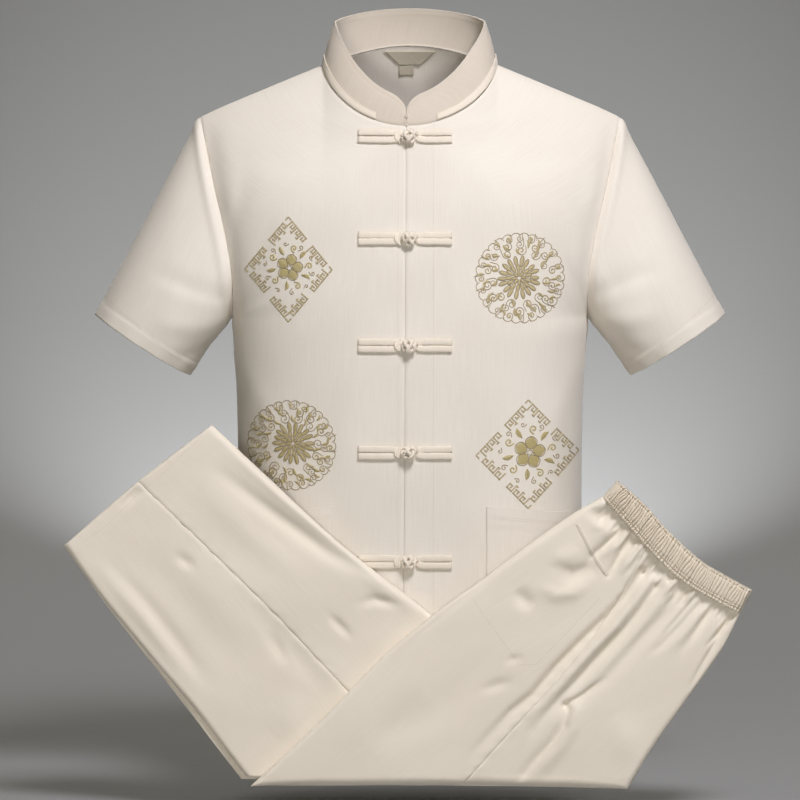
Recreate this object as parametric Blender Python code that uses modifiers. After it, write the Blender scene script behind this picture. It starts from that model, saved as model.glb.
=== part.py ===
"""Tang suit: a short-sleeved jacket on a hollow worn form, with its trousers folded flat in front of it.

Metres, +Z up. The front faces -Y and the viewer's right is +X, which is the wearer's left.
The origin is between the shoulders, level with the points where the shoulder seams meet the collar.
Each cloth piece is a wall. Neighbouring pieces stop 0.3 mm apart at their seam.
"""
import math
from collections import namedtuple

import bmesh
import bpy
from mathutils import Vector
from mathutils.bvhtree import BVHTree

MM = 0.001

# Cloth
CLOTH = 1.3 * MM
SEAM_GAP = 0.3 * MM
REST_GAP = 0.4 * MM

# Jacket: neck, shoulders and length
NECK_HALF = 98.0 * MM
NECK_FRONT_DROP = 68.0 * MM
NECK_BACK_RISE = 20.0 * MM
NECK_RIDGE = 100.0 * MM
SHOULDER_TIP_X = 238.0 * MM
SHOULDER_TIP_Z = -58.0 * MM
ARMPIT_Z = -286.0 * MM
HEM_Z = -722.0 * MM
DOME_HEIGHT = 160.0 * MM
ROUNDNESS = 2.5
ARMHOLE_FULLNESS = 0.55
ARMHOLE_ROUND = 70.0 * MM
CENTRE_FRONT_X = -4.0 * MM
CENTRE_FRONT_LEAN = 0.0055

# Rows and columns of the jacket's walls
BODY_ROWS = 7
ARMHOLE_ROWS = 12
FRONT_NECK_ROWS = 7
BACK_NECK_ROWS = 5
BODY_COLUMNS = 9

# Sleeves: the cuff's outer and inner ends in the front view, its half depth and the sleeve's swell
CUFF_OUTER = (358.0 * MM, -283.0 * MM)
CUFF_INNER = (250.5 * MM, -352.5 * MM)
CUFF_HALF_DEPTH = 62.0 * MM
CUFF_Y = -4.0 * MM
SLEEVE_SWELL = 0.12
SLEEVE_ROWS = 7

# Collar
COLLAR_THICKNESS = 1.8 * MM
COLLAR_LIFT = 0.4 * MM
COLLAR_TOP_HALF = 85.5 * MM
COLLAR_TOP_FRONT_Y = -70.0 * MM
COLLAR_TOP_BACK_Y = 52.0 * MM
COLLAR_TOP_SIDE_Z = 48.5 * MM
COLLAR_TOP_FRONT_Z = -25.0 * MM
COLLAR_TOP_BACK_Z = 63.5 * MM
COLLAR_CORNER = 20.0 * MM
COLLAR_HEIGHTS = (0.0, 0.24, 0.5, 0.78, 1.0)
STRIP_THICKNESS = 1.0 * MM
STRIP_TOP = 0.24
STRIP_FOOT = 0.04
STRIP_END_RIGHT_X = -36.0 * MM
STRIP_END_LEFT_X = 28.5 * MM

# Frog fastenings
FROG_HEIGHTS = (-80.0 * MM, -193.5 * MM, -312.5 * MM, -432.0 * MM, -554.5 * MM)
FROG_KNOT_X = -1.5 * MM
KNOT_HALF = (8.2 * MM, 5.6 * MM, 7.6 * MM)
LOOP_END_X = -58.0 * MM
STEM_END_X = 46.5 * MM
FROG_HALF_HEIGHT = 8.3 * MM
FROG_BULGE = 3.0 * MM
FROG_GROOVE = 1.5 * MM
FROG_EDGE = 0.7 * MM
FROG_GAP = 0.7 * MM

# Patch pockets, in arc and height on the front panel
POCKET_TOP_Z = -492.0 * MM
POCKET_SLANT = 0.12
POCKET_INNER_X = 85.0 * MM
POCKET_BOTTOM_Z = -645.0 * MM
POCKET_OUTER_COLUMN = 7.55

# Labels inside the back neck
LABEL_THICKNESS = 1.0 * MM
LABEL_TOP = (30.0 * MM, 15.0 * MM)
LABEL_BOTTOM = (11.5 * MM, -1.0 * MM)
TAB_X = (-12.5 * MM, 4.5 * MM)
TAB_Z = (-1.6 * MM, -12.5 * MM)

# Trousers: the depth of each part of the folded pack, front to back
PACK_BACK_Y = -131.3 * MM
FAR_THICKNESS = 14.0 * MM
NEAR_THICKNESS = 16.0 * MM
ROLL_RADIUS = 7.0 * MM
LAYER_STEP = 0.6 * MM
CORE_SINK = 3.6 * MM
CORE_GAP = 1.4 * MM

# Waistband
BAND_RIBS = 46
RIB_HEIGHT = 1.5 * MM
BAND_THICKNESS = 1.6 * MM
BAND_SWELL = 2.0 * MM
BandRow = namedtuple("BandRow", "share swell rib")
NEAR_BAND_PROFILE = [
    BandRow(0.01, 0.2, 0.4), BandRow(0.3, 1.0, 1.0), BandRow(0.65, 1.0, 1.0), BandRow(0.88, 0.7, 0.6),
    BandRow(1.0, 0.0, 0.4),
]
FAR_BAND_PROFILE = [BandRow(0.01, 0.2, 0.4), BandRow(0.5, 1.0, 1.0), BandRow(1.0, 0.0, 0.4)]

# Side pocket's lip
MOUTH_STEPS = 14
MOUTH_WIDTH = 5.0 * MM
MOUTH_GAP = 0.6 * MM

CLOTH_COLOUR = (0.86, 0.80, 0.70, 1.0)
TRIM_COLOUR = (0.88, 0.82, 0.72, 1.0)
LABEL_COLOUR = (0.80, 0.77, 0.70, 1.0)
CLOTH_ROUGHNESS = 0.75

Section = namedtuple("Section", "height half_width front back")
BODY_SECTIONS = [
    Section(0.030, 0.2010, 0.075, 0.068),
    Section(-0.068, 0.2010, 0.084, 0.090),
    Section(-0.160, 0.2010, 0.108, 0.108),
    Section(-0.286, 0.2020, 0.124, 0.113),
    Section(-0.370, 0.1975, 0.128, 0.108),
    Section(-0.500, 0.1957, 0.130, 0.104),
    Section(-0.620, 0.1970, 0.129, 0.108),
    Section(-0.725, 0.1990, 0.128, 0.112),
]

SeamPoint = namedtuple("SeamPoint", "height reach")
ARMHOLE_SEAM = [
    SeamPoint(-0.058, 0.2380),
    SeamPoint(-0.097, 0.2320),
    SeamPoint(-0.141, 0.2235),
    SeamPoint(-0.187, 0.2130),
    SeamPoint(-0.234, 0.2050),
    SeamPoint(-0.263, 0.2025),
    SeamPoint(-0.286, 0.2020),
]

# Outlines of the folded trousers in the front view, in millimetres
Point = namedtuple("Point", "x z")
NEAR_LEFT_EDGE = [
    Point(-178, -803), Point(-101, -731), Point(-34, -661), Point(24, -612),
    Point(85, -568), Point(134, -531), Point(178, -500), Point(214, -479),
]
NEAR_RIGHT_EDGE = [Point(243, -806), Point(274, -755), Point(311, -702), Point(347, -650), Point(368, -609)]
NEAR_SEAM = [Point(56, -803), Point(120, -732), Point(173, -673), Point(224, -606), Point(262, -535)]
BAND_LOW = [Point(214, -479), Point(237, -505), Point(263, -535), Point(300, -571), Point(345, -598), Point(368, -609)]
BAND_TOP = [Point(230, -461), Point(262, -489), Point(284, -514), Point(324, -551), Point(352, -568), Point(381, -584)]
FAR_UPPER_EDGE = [Point(236, -794), Point(24, -613), Point(-78, -533), Point(-167, -451), Point(-221, -400)]
FAR_LOWER_EDGE = [Point(-184, -794), Point(-235, -727), Point(-290, -660), Point(-337, -603), Point(-387, -536)]
FAR_SEAM = [Point(30, -794), Point(-70, -697), Point(-167, -595), Point(-240, -524), Point(-303, -463)]
POCKET_MOUTH = [Point(186, -508), Point(192, -520), Point(204, -543), Point(219, -566)]

# Largest folds of the trousers: start and end in millimetres, half width, height (below zero is a trough)
Fold = namedtuple("Fold", "x0 z0 x1 z1 width height")
NEAR_FOLDS = [
    Fold(256, -552, 186, -645, 7, -2.2),
    Fold(186, -645, 90, -745, 9, -1.8),
    Fold(262, -585, 172, -690, 8, 4.0),
    Fold(172, -690, 125, -745, 9, 2.4),
    Fold(268, -655, 176, -712, 10, 2.4),
    Fold(306, -572, 262, -650, 10, 2.6),
    Fold(320, -600, 276, -668, 8, -1.6),
    Fold(352, -600, 322, -672, 8, 2.2),
    Fold(165, -570, 135, -600, 22, -1.6),
    Fold(200, -500, 215, -525, 14, -1.4),
]
FAR_FOLDS = [
    Fold(-195, -425, -60, -560, 11, -1.4),
    Fold(-55, -592, 5, -612, 9, 1.6),
]
GATHERS = 16
GATHER_LENGTH = 62.0 * MM
GATHER_HEIGHT = 1.7 * MM
BAND_REACH = 0.6
SEAM_SHARE = 0.365


def clear_scene():
    """Remove every object the file opens with."""
    for thing in list(bpy.data.objects):
        bpy.data.objects.remove(thing, do_unlink=True)


def material(name, colour):
    """A plain cloth material."""
    made = bpy.data.materials.new(name)
    made.use_nodes = True
    shader = made.node_tree.nodes["Principled BSDF"]
    shader.inputs["Base Color"].default_value = colour
    shader.inputs["Roughness"].default_value = CLOTH_ROUGHNESS
    shader.inputs["Metallic"].default_value = 0.0
    return made


def add_object(name, mesh, colour):
    """Put a mesh in the suit's collection, smooth and with its own material."""
    mesh.shade_smooth()
    mesh.set_sharp_from_angle(angle=math.radians(50))
    mesh.materials.append(material(name, colour))
    thing = bpy.data.objects.new(name, mesh)
    SUIT.objects.link(thing)
    return thing


def smooth_value(rows, column, at):
    """A column of a table at a height, along a smooth curve through its rows. Heights may run either way."""
    rows = sorted(rows, key=lambda row: row[0])
    heights = [row[0] for row in rows]
    values = [getattr(row, column) for row in rows]
    if at <= heights[0]:
        return values[0]
    if at >= heights[-1]:
        return values[-1]
    i = max(k for k in range(len(heights) - 1) if heights[k] <= at)
    step = heights[i + 1] - heights[i]
    t = (at - heights[i]) / step

    def slope(k):
        low, high = max(k - 1, 0), min(k + 1, len(heights) - 1)
        return (values[high] - values[low]) / (heights[high] - heights[low]) * step

    cubic = t * t * (3 - 2 * t)
    start, end = slope(i), slope(i + 1)
    return (values[i] * (1 - cubic) + values[i + 1] * cubic
            + start * t * (1 - t) ** 2 - end * t * t * (1 - t))


def along(points, t):
    """The point at a share t of a polyline's length, as (x, z) in metres, on a smooth curve."""
    lengths = [0.0]
    for a, b in zip(points, points[1:]):
        lengths.append(lengths[-1] + math.hypot(b.x - a.x, b.z - a.z))
    target = min(max(t, 0.0), 1.0) * lengths[-1]
    Row = namedtuple("Row", "length x z")
    rows = [Row(length, p.x, p.z) for length, p in zip(lengths, points)]
    return smooth_value(rows, "x", target) * MM, smooth_value(rows, "z", target) * MM


# Jacket body

def centre_front_x(height):
    """The closing line leans slightly towards the wearer's right on its way down."""
    return CENTRE_FRONT_X + CENTRE_FRONT_LEAN * height


def ridge_height(x):
    """Height of the shoulder ridge, which rises steeply inside the neck."""
    if abs(x) < NECK_HALF:
        return NECK_RIDGE * (1 - abs(x) / NECK_HALF)
    return SHOULDER_TIP_Z * (abs(x) - NECK_HALF) / (SHOULDER_TIP_X - NECK_HALF)


def dome(x, z):
    """Share of the full depth that the body has at this distance under the shoulder ridge."""
    below = min(max((ridge_height(x) - z) / DOME_HEIGHT, 0.0), 1.0)
    return math.sqrt(1 - (1 - below) ** 2)


def armhole_share(z):
    """Depth of the armhole seam as a share of the body's depth at that height."""
    rise = min(max((z - ARMPIT_Z) / ARMHOLE_ROUND, 0.0), 1.0)
    return ARMHOLE_FULLNESS * math.sqrt(1 - (1 - rise) ** 2)


def neckline(face, turn):
    """Offset from the centre line as a share of the half neck, and height, for a turn from centre to side."""
    c = math.cos(turn)
    if face == "front":
        return math.sin(turn), -NECK_FRONT_DROP * c ** 1.2
    return math.sin(turn), NECK_BACK_RISE * c ** 2.5


def inner_border(side, face, row):
    """Start of a row: the centre line, then the neckline. Returns x, height."""
    neck_rows = FRONT_NECK_ROWS if face == "front" else BACK_NECK_ROWS
    neck_z = -NECK_FRONT_DROP if face == "front" else NECK_BACK_RISE
    centre_rows = ARMHOLE_ROWS - neck_rows
    up = row - BODY_ROWS
    if up <= 0:
        height = HEM_Z + (ARMPIT_Z - HEM_Z) * row / BODY_ROWS
    elif up <= centre_rows:
        height = ARMPIT_Z + (neck_z - ARMPIT_Z) * up / centre_rows
    else:
        turn = math.pi / 2 * (up - centre_rows) / neck_rows
        share, height = neckline(face, turn)
        middle = centre_front_x(height) if face == "front" else 0.0
        return middle + (side * NECK_HALF - middle) * share, height
    return (centre_front_x(height) if face == "front" else 0.0), height


def outer_border(row):
    """End of a row: the side seam, then the armhole. Returns reach from the middle, height and depth share."""
    up = row - BODY_ROWS
    if up <= 0:
        height = HEM_Z + (ARMPIT_Z - HEM_Z) * row / BODY_ROWS
        return smooth_value(BODY_SECTIONS, "half_width", height), height, 0.0
    turn = math.pi * (1 - up / ARMHOLE_ROWS)
    middle = (ARMPIT_Z + SHOULDER_TIP_Z) / 2
    half = (SHOULDER_TIP_Z - ARMPIT_Z) / 2
    height = middle + half * math.cos(turn)
    return smooth_value(ARMHOLE_SEAM, "reach", height), height, armhole_share(height)


def body_half(side, face, columns):
    """Points of half the front or back, hem first, each row from the centre line out to the side."""
    way = -1 if face == "front" else 1
    power = 2 / ROUNDNESS
    rows = []
    for row in range(BODY_ROWS + ARMHOLE_ROWS + 1):
        x_in, z_in = inner_border(side, face, row)
        reach, z_out, share = outer_border(row)
        end = math.acos(share ** (1 / power))
        width = reach / math.sin(end) ** power
        first = side * x_in / width
        start = math.copysign(math.asin(abs(first) ** (1 / power)), first)
        line = []
        for column in range(columns + 1):
            turn = start + (end - start) * column / columns
            x = side * width * math.copysign(abs(math.sin(turn)) ** power, turn)
            if column == columns:
                x = side * reach
            z = z_in + (z_out - z_in) * (x - x_in) / (side * reach - x_in)
            depth = smooth_value(BODY_SECTIONS, face, z) * max(math.cos(turn), 0.0) ** power
            if column == columns and share == 0.0:
                depth = 0.0
            line.append(Vector((x, way * depth * dome(x, z), z)))
        rows.append(line)
    return rows


def sleeve_rings(side, front, back):
    """Rings of a sleeve from its armhole to its cuff. The first ring is the body's own armhole."""
    armhole = [front[row][-1] for row in range(len(front) - 1, BODY_ROWS - 1, -1)]
    armhole += [back[row][-1] for row in range(BODY_ROWS + 1, len(back) - 1)]
    outer = Vector((side * CUFF_OUTER[0], CUFF_Y, CUFF_OUTER[1]))
    inner = Vector((side * CUFF_INNER[0], CUFF_Y, CUFF_INNER[1]))
    centre, arm = (outer + inner) / 2, (outer - inner) / 2
    count = len(armhole)
    rings = []
    for row in range(SLEEVE_ROWS + 1):
        t = row / SLEEVE_ROWS
        ring = []
        for k, start in enumerate(armhole):
            turn = 2 * math.pi * k / count
            end = centre + arm * math.cos(turn) - Vector((0, CUFF_HALF_DEPTH * math.sin(turn), 0))
            point = start.lerp(end, t)
            point.y *= 1 + SLEEVE_SWELL * math.sin(math.pi * t)
            ring.append(point)
        rings.append(ring)
    return rings


def add_grid(bm, layer, panel, rows, closed=False):
    """Add a grid of points to the form as quads of one panel."""
    verts = [[bm.verts.new(p) for p in row] for row in rows]
    for low, high in zip(verts, verts[1:]):
        count = len(low)
        for k in range(count if closed else count - 1):
            n = (k + 1) % count
            face = bm.faces.new((low[k], low[n], high[n], high[k]))
            face[layer] = panel


def jacket_form():
    """The jacket as one open surface, whose faces know their panel, so that panels share their seams."""
    bm = bmesh.new()
    layer = bm.faces.layers.int.new("panel")
    names = ["jacket_front_right", "jacket_front_left", "jacket_back", "sleeve_right", "sleeve_left"]
    halves = {}
    for side in (-1, 1):
        front = body_half(side, "front", BODY_COLUMNS)
        back = body_half(side, "back", BODY_COLUMNS)
        add_grid(bm, layer, 0 if side < 0 else 1, front)
        add_grid(bm, layer, 2, back)
        add_grid(bm, layer, 3 if side < 0 else 4, sleeve_rings(side, front, back), closed=True)
        halves[side] = (front, back)
    bmesh.ops.remove_doubles(bm, verts=bm.verts, dist=0.02 * MM)
    bmesh.ops.recalc_face_normals(bm, faces=bm.faces)
    chest = min(bm.faces, key=lambda f: f.calc_center_median().y)
    if chest.normal.y > 0:
        bmesh.ops.reverse_faces(bm, faces=bm.faces)
    bmesh.ops.triangulate(bm, faces=bm.faces, quad_method="SHORT_EDGE")
    bm.normal_update()
    bm.verts.index_update()
    return bm, layer, names, halves


def seam_shift(vert, faces):
    """Which way a seam's point moves into its panel, so that each panel stops short of the seam."""
    shift = Vector()
    for edge in vert.link_edges:
        inside = [f for f in edge.link_faces if f in faces]
        if len(inside) != 1:
            continue
        run = (edge.verts[1].co - edge.verts[0].co).normalized()
        across = inside[0].normal.cross(run)
        if across.dot(inside[0].calc_center_median() - edge.verts[0].co) < 0:
            across.negate()
        shift += across
    if shift.length < 1e-9:
        return shift
    return shift.normalized() * min(SEAM_GAP / 2 * 2 / shift.length, SEAM_GAP)


def wall_from_form(bm, layer, panel):
    """The closed wall of one panel. Its inner face lies along the form's own smooth normals."""
    faces = {f for f in bm.faces if f[layer] == panel}
    wall = bmesh.new()
    outside, inside = {}, {}
    for vert in {v for f in faces for v in f.verts}:
        shift = seam_shift(vert, faces)
        depth = CLOTH * min(vert.calc_shell_factor(), 1.8)
        outside[vert] = wall.verts.new(vert.co + shift)
        inside[vert] = wall.verts.new(vert.co + shift - vert.normal * depth)
    for face in faces:
        loop = list(face.verts)
        wall.faces.new([outside[v] for v in loop])
        wall.faces.new([inside[v] for v in reversed(loop)])
        for a, b in zip(loop, loop[1:] + loop[:1]):
            edge = bm.edges.get((a, b))
            if len([f for f in edge.link_faces if f in faces]) == 1:
                # Both panels split a seam's rim along the same diagonal
                low, high = sorted((a, b), key=lambda v: v.index)
                wall.faces.new((outside[low], outside[high], inside[high]))
                wall.faces.new((outside[low], inside[high], inside[low]))
    return wall


def finish_mesh(bm, name, colour):
    """Turn a bmesh into a named object."""
    bmesh.ops.recalc_face_normals(bm, faces=bm.faces)
    mesh = bpy.data.meshes.new(name)
    bm.to_mesh(mesh)
    bm.free()
    return add_object(name, mesh, colour)


def shell_object(name, rows, thickness, offset, colour):
    """An open grid of points with thickness. Offset says which side of the grid it grows on, 1 or -1."""
    bm = bmesh.new()
    verts = [[bm.verts.new(p) for p in row] for row in rows]
    for low, high in zip(verts, verts[1:]):
        for k in range(len(low) - 1):
            bm.faces.new((low[k], low[k + 1], high[k + 1], high[k]))
    mesh = bpy.data.meshes.new(name)
    bm.to_mesh(mesh)
    bm.free()
    thing = add_object(name, mesh, colour)
    solid = thing.modifiers.new("thickness", "SOLIDIFY")
    solid.thickness = thickness
    solid.offset = offset
    solid.use_even_offset = False
    return thing


def slab_object(name, lower, upper, colour):
    """A closed solid between two grids of points of the same size."""
    bm = bmesh.new()
    low = [[bm.verts.new(p) for p in row] for row in lower]
    high = [[bm.verts.new(p) for p in row] for row in upper]
    rows, columns = len(low), len(low[0])
    for i in range(rows - 1):
        for k in range(columns - 1):
            for grid in (low, high):
                bm.faces.new((grid[i][k], grid[i][k + 1], grid[i + 1][k + 1], grid[i + 1][k]))
    rim = [(0, k) for k in range(columns)] + [(i, columns - 1) for i in range(1, rows)]
    rim += [(rows - 1, k) for k in range(columns - 2, -1, -1)] + [(i, 0) for i in range(rows - 2, 0, -1)]
    for (i, k), (j, n) in zip(rim, rim[1:] + rim[:1]):
        bm.faces.new((low[i][k], low[j][n], high[j][n], high[i][k]))
    return finish_mesh(bm, name, colour)


def grid_normals(rows, away_from):
    """Unit normals of a grid of points, turned away from a point or line given as a function."""
    normals = []
    for i, row in enumerate(rows):
        line = []
        for k, point in enumerate(row):
            across = row[min(k + 1, len(row) - 1)] - row[max(k - 1, 0)]
            up = rows[min(i + 1, len(rows) - 1)][k] - rows[max(i - 1, 0)][k]
            normal = across.cross(up).normalized()
            if normal.dot(point - away_from(point)) < 0:
                normal.negate()
            line.append(normal)
        normals.append(line)
    return normals


# Collar

def collar_path(halves):
    """Foot and top of the collar from the wearer's right front, round the back, to the left front."""
    path = []

    def top_point(side, face, turn):
        c = math.cos(turn)
        if face == "front":
            middle = centre_front_x(-NECK_FRONT_DROP)
            height = COLLAR_TOP_SIDE_Z + (COLLAR_TOP_FRONT_Z - COLLAR_TOP_SIDE_Z) * c ** 1.6
            return Vector((middle + (side * COLLAR_TOP_HALF - middle) * math.sin(turn), COLLAR_TOP_FRONT_Y * c, height))
        height = COLLAR_TOP_SIDE_Z + (COLLAR_TOP_BACK_Z - COLLAR_TOP_SIDE_Z) * c ** 1.5
        return Vector((side * COLLAR_TOP_HALF * math.sin(turn), COLLAR_TOP_BACK_Y * c, height))

    for side in (-1, 1):
        front, back = halves[side]
        leg = []
        for face, half, count in (("front", front, FRONT_NECK_ROWS), ("back", back, BACK_NECK_ROWS)):
            first = len(half) - 1 - count
            for step in range(count + 1):
                turn = math.pi / 2 * step / count
                leg.append((face, step, half[first + step][0], top_point(side, face, turn)))
        fronts = [entry for entry in leg if entry[0] == "front"]
        backs = [entry for entry in leg if entry[0] == "back"][:-1][::-1]
        # Extra columns where the front corner is rounded
        first, second = fronts[0], fronts[1]
        corner = []
        for share in (0.22, 0.5, 0.76):
            corner.append(("front", share, first[2].lerp(second[2], share), first[3].lerp(second[3], share)))
        ordered = [first] + corner + fronts[1:] + backs
        if side < 0:
            path = ordered
        else:
            path += ordered[::-1][1:]
    return [(foot, top) for _, _, foot, top in path]


def collar_rows(path):
    """Grid of the collar's outer face: one row for each height, with the front corners rounded."""
    columns = []
    ends = (path[0][0].x, path[-1][0].x)
    for foot, top in path:
        up = (top - foot).normalized()
        start = foot + up * COLLAR_LIFT
        full = 1.0
        if foot.y < 0:
            inset = min(abs(foot.x - ends[0]), abs(foot.x - ends[1]))
            if inset < COLLAR_CORNER:
                bend = (COLLAR_CORNER - inset) / COLLAR_CORNER
                full = 0.5 + 0.5 * math.sqrt(1 - bend * bend)
        columns.append([start.lerp(top, height * full) for height in COLLAR_HEIGHTS])
    columns[0] = [p + Vector((-SEAM_GAP, 0, 0)) for p in columns[0]]
    columns[-1] = [p + Vector((SEAM_GAP, 0, 0)) for p in columns[-1]]
    return [[column[i] for column in columns] for i in range(len(COLLAR_HEIGHTS))]


def make_collar(halves):
    """The stand collar and the narrow band round its foot."""
    rows = collar_rows(collar_path(halves))
    shell_object("collar", rows, COLLAR_THICKNESS, 1.0, TRIM_COLOUR)

    def middle(point):
        return Vector((0, 0, point.z))

    normals = grid_normals(rows, middle)
    foot = rows[0]
    kept = [k for k in range(len(foot))
            if foot[k].y > 0 or foot[k].x < STRIP_END_RIGHT_X or foot[k].x > STRIP_END_LEFT_X]
    top_share = STRIP_TOP / COLLAR_HEIGHTS[1]
    foot_share = STRIP_FOOT / COLLAR_HEIGHTS[1]

    def band(out):
        lines = []
        for share in (foot_share, top_share):
            line = []
            for k in kept:
                normal = normals[0][k].lerp(normals[1][k], share).normalized()
                line.append(rows[0][k].lerp(rows[1][k], share) + normal * out)
            lines.append(line)
        return lines

    slab_object("collar_strip", band(REST_GAP), band(REST_GAP + STRIP_THICKNESS), TRIM_COLOUR)


# Things that lie on the fronts and inside the back

def surface_of(thing):
    """A finished object's faces, to seat other pieces on."""
    mesh = thing.evaluated_get(bpy.context.evaluated_depsgraph_get()).to_mesh()
    mesh.calc_loop_triangles()
    return BVHTree.FromPolygons([v.co for v in mesh.vertices], [t.vertices for t in mesh.loop_triangles])


def seat(trees, x, z, start_y=-1.0):
    """Where a straight line to the back first meets the cloth, and the cloth's normal there, or None twice."""
    hits = [tree.ray_cast(Vector((x, start_y, z)), Vector((0, 1, 0))) for tree in trees]
    hits = [hit for hit in hits if hit[0] is not None]
    if not hits:
        return None, None
    nearest = min(hits, key=lambda hit: hit[3])
    return nearest[0], nearest[1]


def bulge_between(trees, height, places):
    """The most by which the cloth stands in front of straight lines between a strip's stations."""
    most = 0.0
    for across in (-1.0, 0.0, 1.0):
        z = height + across * FROG_HALF_HEIGHT
        for a, b in zip(places, places[1:]):
            start, end = seat(trees, a, z)[0].y, seat(trees, b, z)[0].y
            for share in (0.25, 0.5, 0.75):
                cloth = seat(trees, a + (b - a) * share, z)[0].y
                most = max(most, start + (end - start) * share - cloth)
    return most


def frog_strip(name, trees, height, x_knot, x_end):
    """Two bias tubes side by side, stitched together down the middle."""
    profile = [(-1.0, FROG_EDGE), (-0.75, FROG_BULGE * 0.85), (-0.35, FROG_BULGE), (0.0, FROG_GROOVE),
               (0.35, FROG_BULGE), (0.75, FROG_BULGE * 0.85), (1.0, FROG_EDGE)]
    stations = [(0.0, 0.72, 0.85), (0.15, 0.92, 1.0), (0.4, 1.0, 1.0), (0.7, 1.0, 1.0), (1.0, 1.0, 0.7)]
    lower, upper = [], []
    gap = FROG_GAP + bulge_between(trees, height, [x_knot + (x_end - x_knot) * station[0] for station in stations])
    for share, spread, swell in stations:
        x = x_knot + (x_end - x_knot) * share
        low_line, high_line = [], []
        for across, out in profile:
            hit, normal = seat(trees, x, height + across * spread * FROG_HALF_HEIGHT)
            low_line.append(hit + normal * gap)
            high_line.append(hit + normal * (gap + out * swell))
        lower.append(low_line)
        upper.append(high_line)
    slab_object(name, lower, upper, TRIM_COLOUR)


def make_frogs(trees):
    """Five frog fastenings down the closing line."""
    for number, height in enumerate(FROG_HEIGHTS, start=1):
        left = FROG_KNOT_X - KNOT_HALF[0] - REST_GAP
        right = FROG_KNOT_X + KNOT_HALF[0] + REST_GAP
        frog_strip(f"frog_{number}_loop", trees, height, left, LOOP_END_X)
        frog_strip(f"frog_{number}_stem", trees, height, right, STEM_END_X)
        bm = bmesh.new()
        bmesh.ops.create_uvsphere(bm, u_segments=10, v_segments=7, radius=1.0)
        bmesh.ops.scale(bm, vec=KNOT_HALF, verts=bm.verts)
        bmesh.ops.translate(bm, vec=(FROG_KNOT_X, 0, height), verts=bm.verts)
        under = [(vert.co.y, seat(trees, vert.co.x, vert.co.z)[0]) for vert in bm.verts]
        room = min(cloth.y - y for y, cloth in under if cloth)
        bmesh.ops.translate(bm, vec=(0, room - REST_GAP, 0), verts=bm.verts)
        finish_mesh(bm, f"frog_{number}_knot", TRIM_COLOUR)


def panel_point(rows, normals, i, k, out):
    """A point of a panel between its rows and columns, moved out from it."""
    i0, k0 = min(int(i), len(rows) - 2), min(int(k), len(rows[0]) - 2)
    s, t = i - i0, k - k0
    low = rows[i0][k0].lerp(rows[i0][k0 + 1], t)
    high = rows[i0 + 1][k0].lerp(rows[i0 + 1][k0 + 1], t)
    low_n = normals[i0][k0].lerp(normals[i0][k0 + 1], t)
    high_n = normals[i0 + 1][k0].lerp(normals[i0 + 1][k0 + 1], t)
    return low.lerp(high, s) + low_n.lerp(high_n, s).normalized() * out


def column_at(row, x):
    """The fractional column where a row of points reaches an x."""
    for k, (a, b) in enumerate(zip(row, row[1:])):
        if (a.x - x) * (b.x - x) <= 0:
            return k + (x - a.x) / (b.x - a.x)
    return len(row) - 1.0


def make_pocket(name, side, front):
    """A patch pocket on a front, its top slanting down towards the side."""
    normals = grid_normals(front, lambda p: Vector((0, 0, p.z)))
    row_step = (ARMPIT_Z - HEM_Z) / BODY_ROWS
    inner = column_at(front[2], side * POCKET_INNER_X)
    columns = [inner] + [k for k in range(math.ceil(inner + 0.15), int(POCKET_OUTER_COLUMN) + 1)] + [POCKET_OUTER_COLUMN]
    bottom = (POCKET_BOTTOM_Z - HEM_Z) / row_step
    lower, upper = [], []
    for column in columns:
        x = panel_point(front, normals, 2, column, 0).x
        drop = POCKET_SLANT * (abs(x) - POCKET_INNER_X)
        top = (POCKET_TOP_Z - drop - HEM_Z) / row_step
        rows = [bottom] + [i for i in range(math.ceil(bottom + 0.1), int(top - 0.1) + 1)] + [top]
        lower.append([panel_point(front, normals, i, column, REST_GAP) for i in rows])
        upper.append([panel_point(front, normals, i, column, REST_GAP + CLOTH) for i in rows])
    slab_object(name, lower, upper, CLOTH_COLOUR)


def make_label(name, trees, corners, z_top, z_bottom):
    """A bare label on the inside of the back. corners gives its side ends at the top and at the bottom."""
    (left_top, right_top), (left_low, right_low) = corners
    lower, upper = [], []
    for row in range(3):
        t = row / 2
        left, right = left_top + (left_low - left_top) * t, right_top + (right_low - right_top) * t
        z = z_top + (z_bottom - z_top) * t
        back_line, front_line = [], []
        for column in range(7):
            x = left + (right - left) * column / 6
            hit, normal = seat(trees, x, z, start_y=0.0)
            back_line.append(hit + normal * REST_GAP)
            front_line.append(hit + normal * (REST_GAP + LABEL_THICKNESS))
        lower.append(back_line)
        upper.append(front_line)
    slab_object(name, lower, upper, LABEL_COLOUR)


# Folded trousers

def fold_relief(folds, x, z):
    """Height of the folds at a place: each a soft ridge or trough that fades at both ends."""
    total = 0.0
    for fold in folds:
        ax, az = fold.x0 * MM, fold.z0 * MM
        dx, dz = fold.x1 * MM - ax, fold.z1 * MM - az
        length = math.hypot(dx, dz)
        t = ((x - ax) * dx + (z - az) * dz) / length ** 2
        off = abs((x - ax) * dz - (z - az) * dx) / length
        width = fold.width * MM
        over = max(-t, t - 1, 0.0) * length
        inside = max(math.sin(math.pi * min(max(t, 0.0), 1.0)), 0.35)
        total += fold.height * MM * inside * math.exp(-(off / width) ** 2 - (over / width) ** 2)
    return total


def roll(distance, radius):
    """How far a rolled edge has dropped back at a distance in from its outline."""
    if distance >= radius:
        return 0.0
    return radius - math.sqrt(radius * radius - (radius - distance) ** 2)


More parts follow.
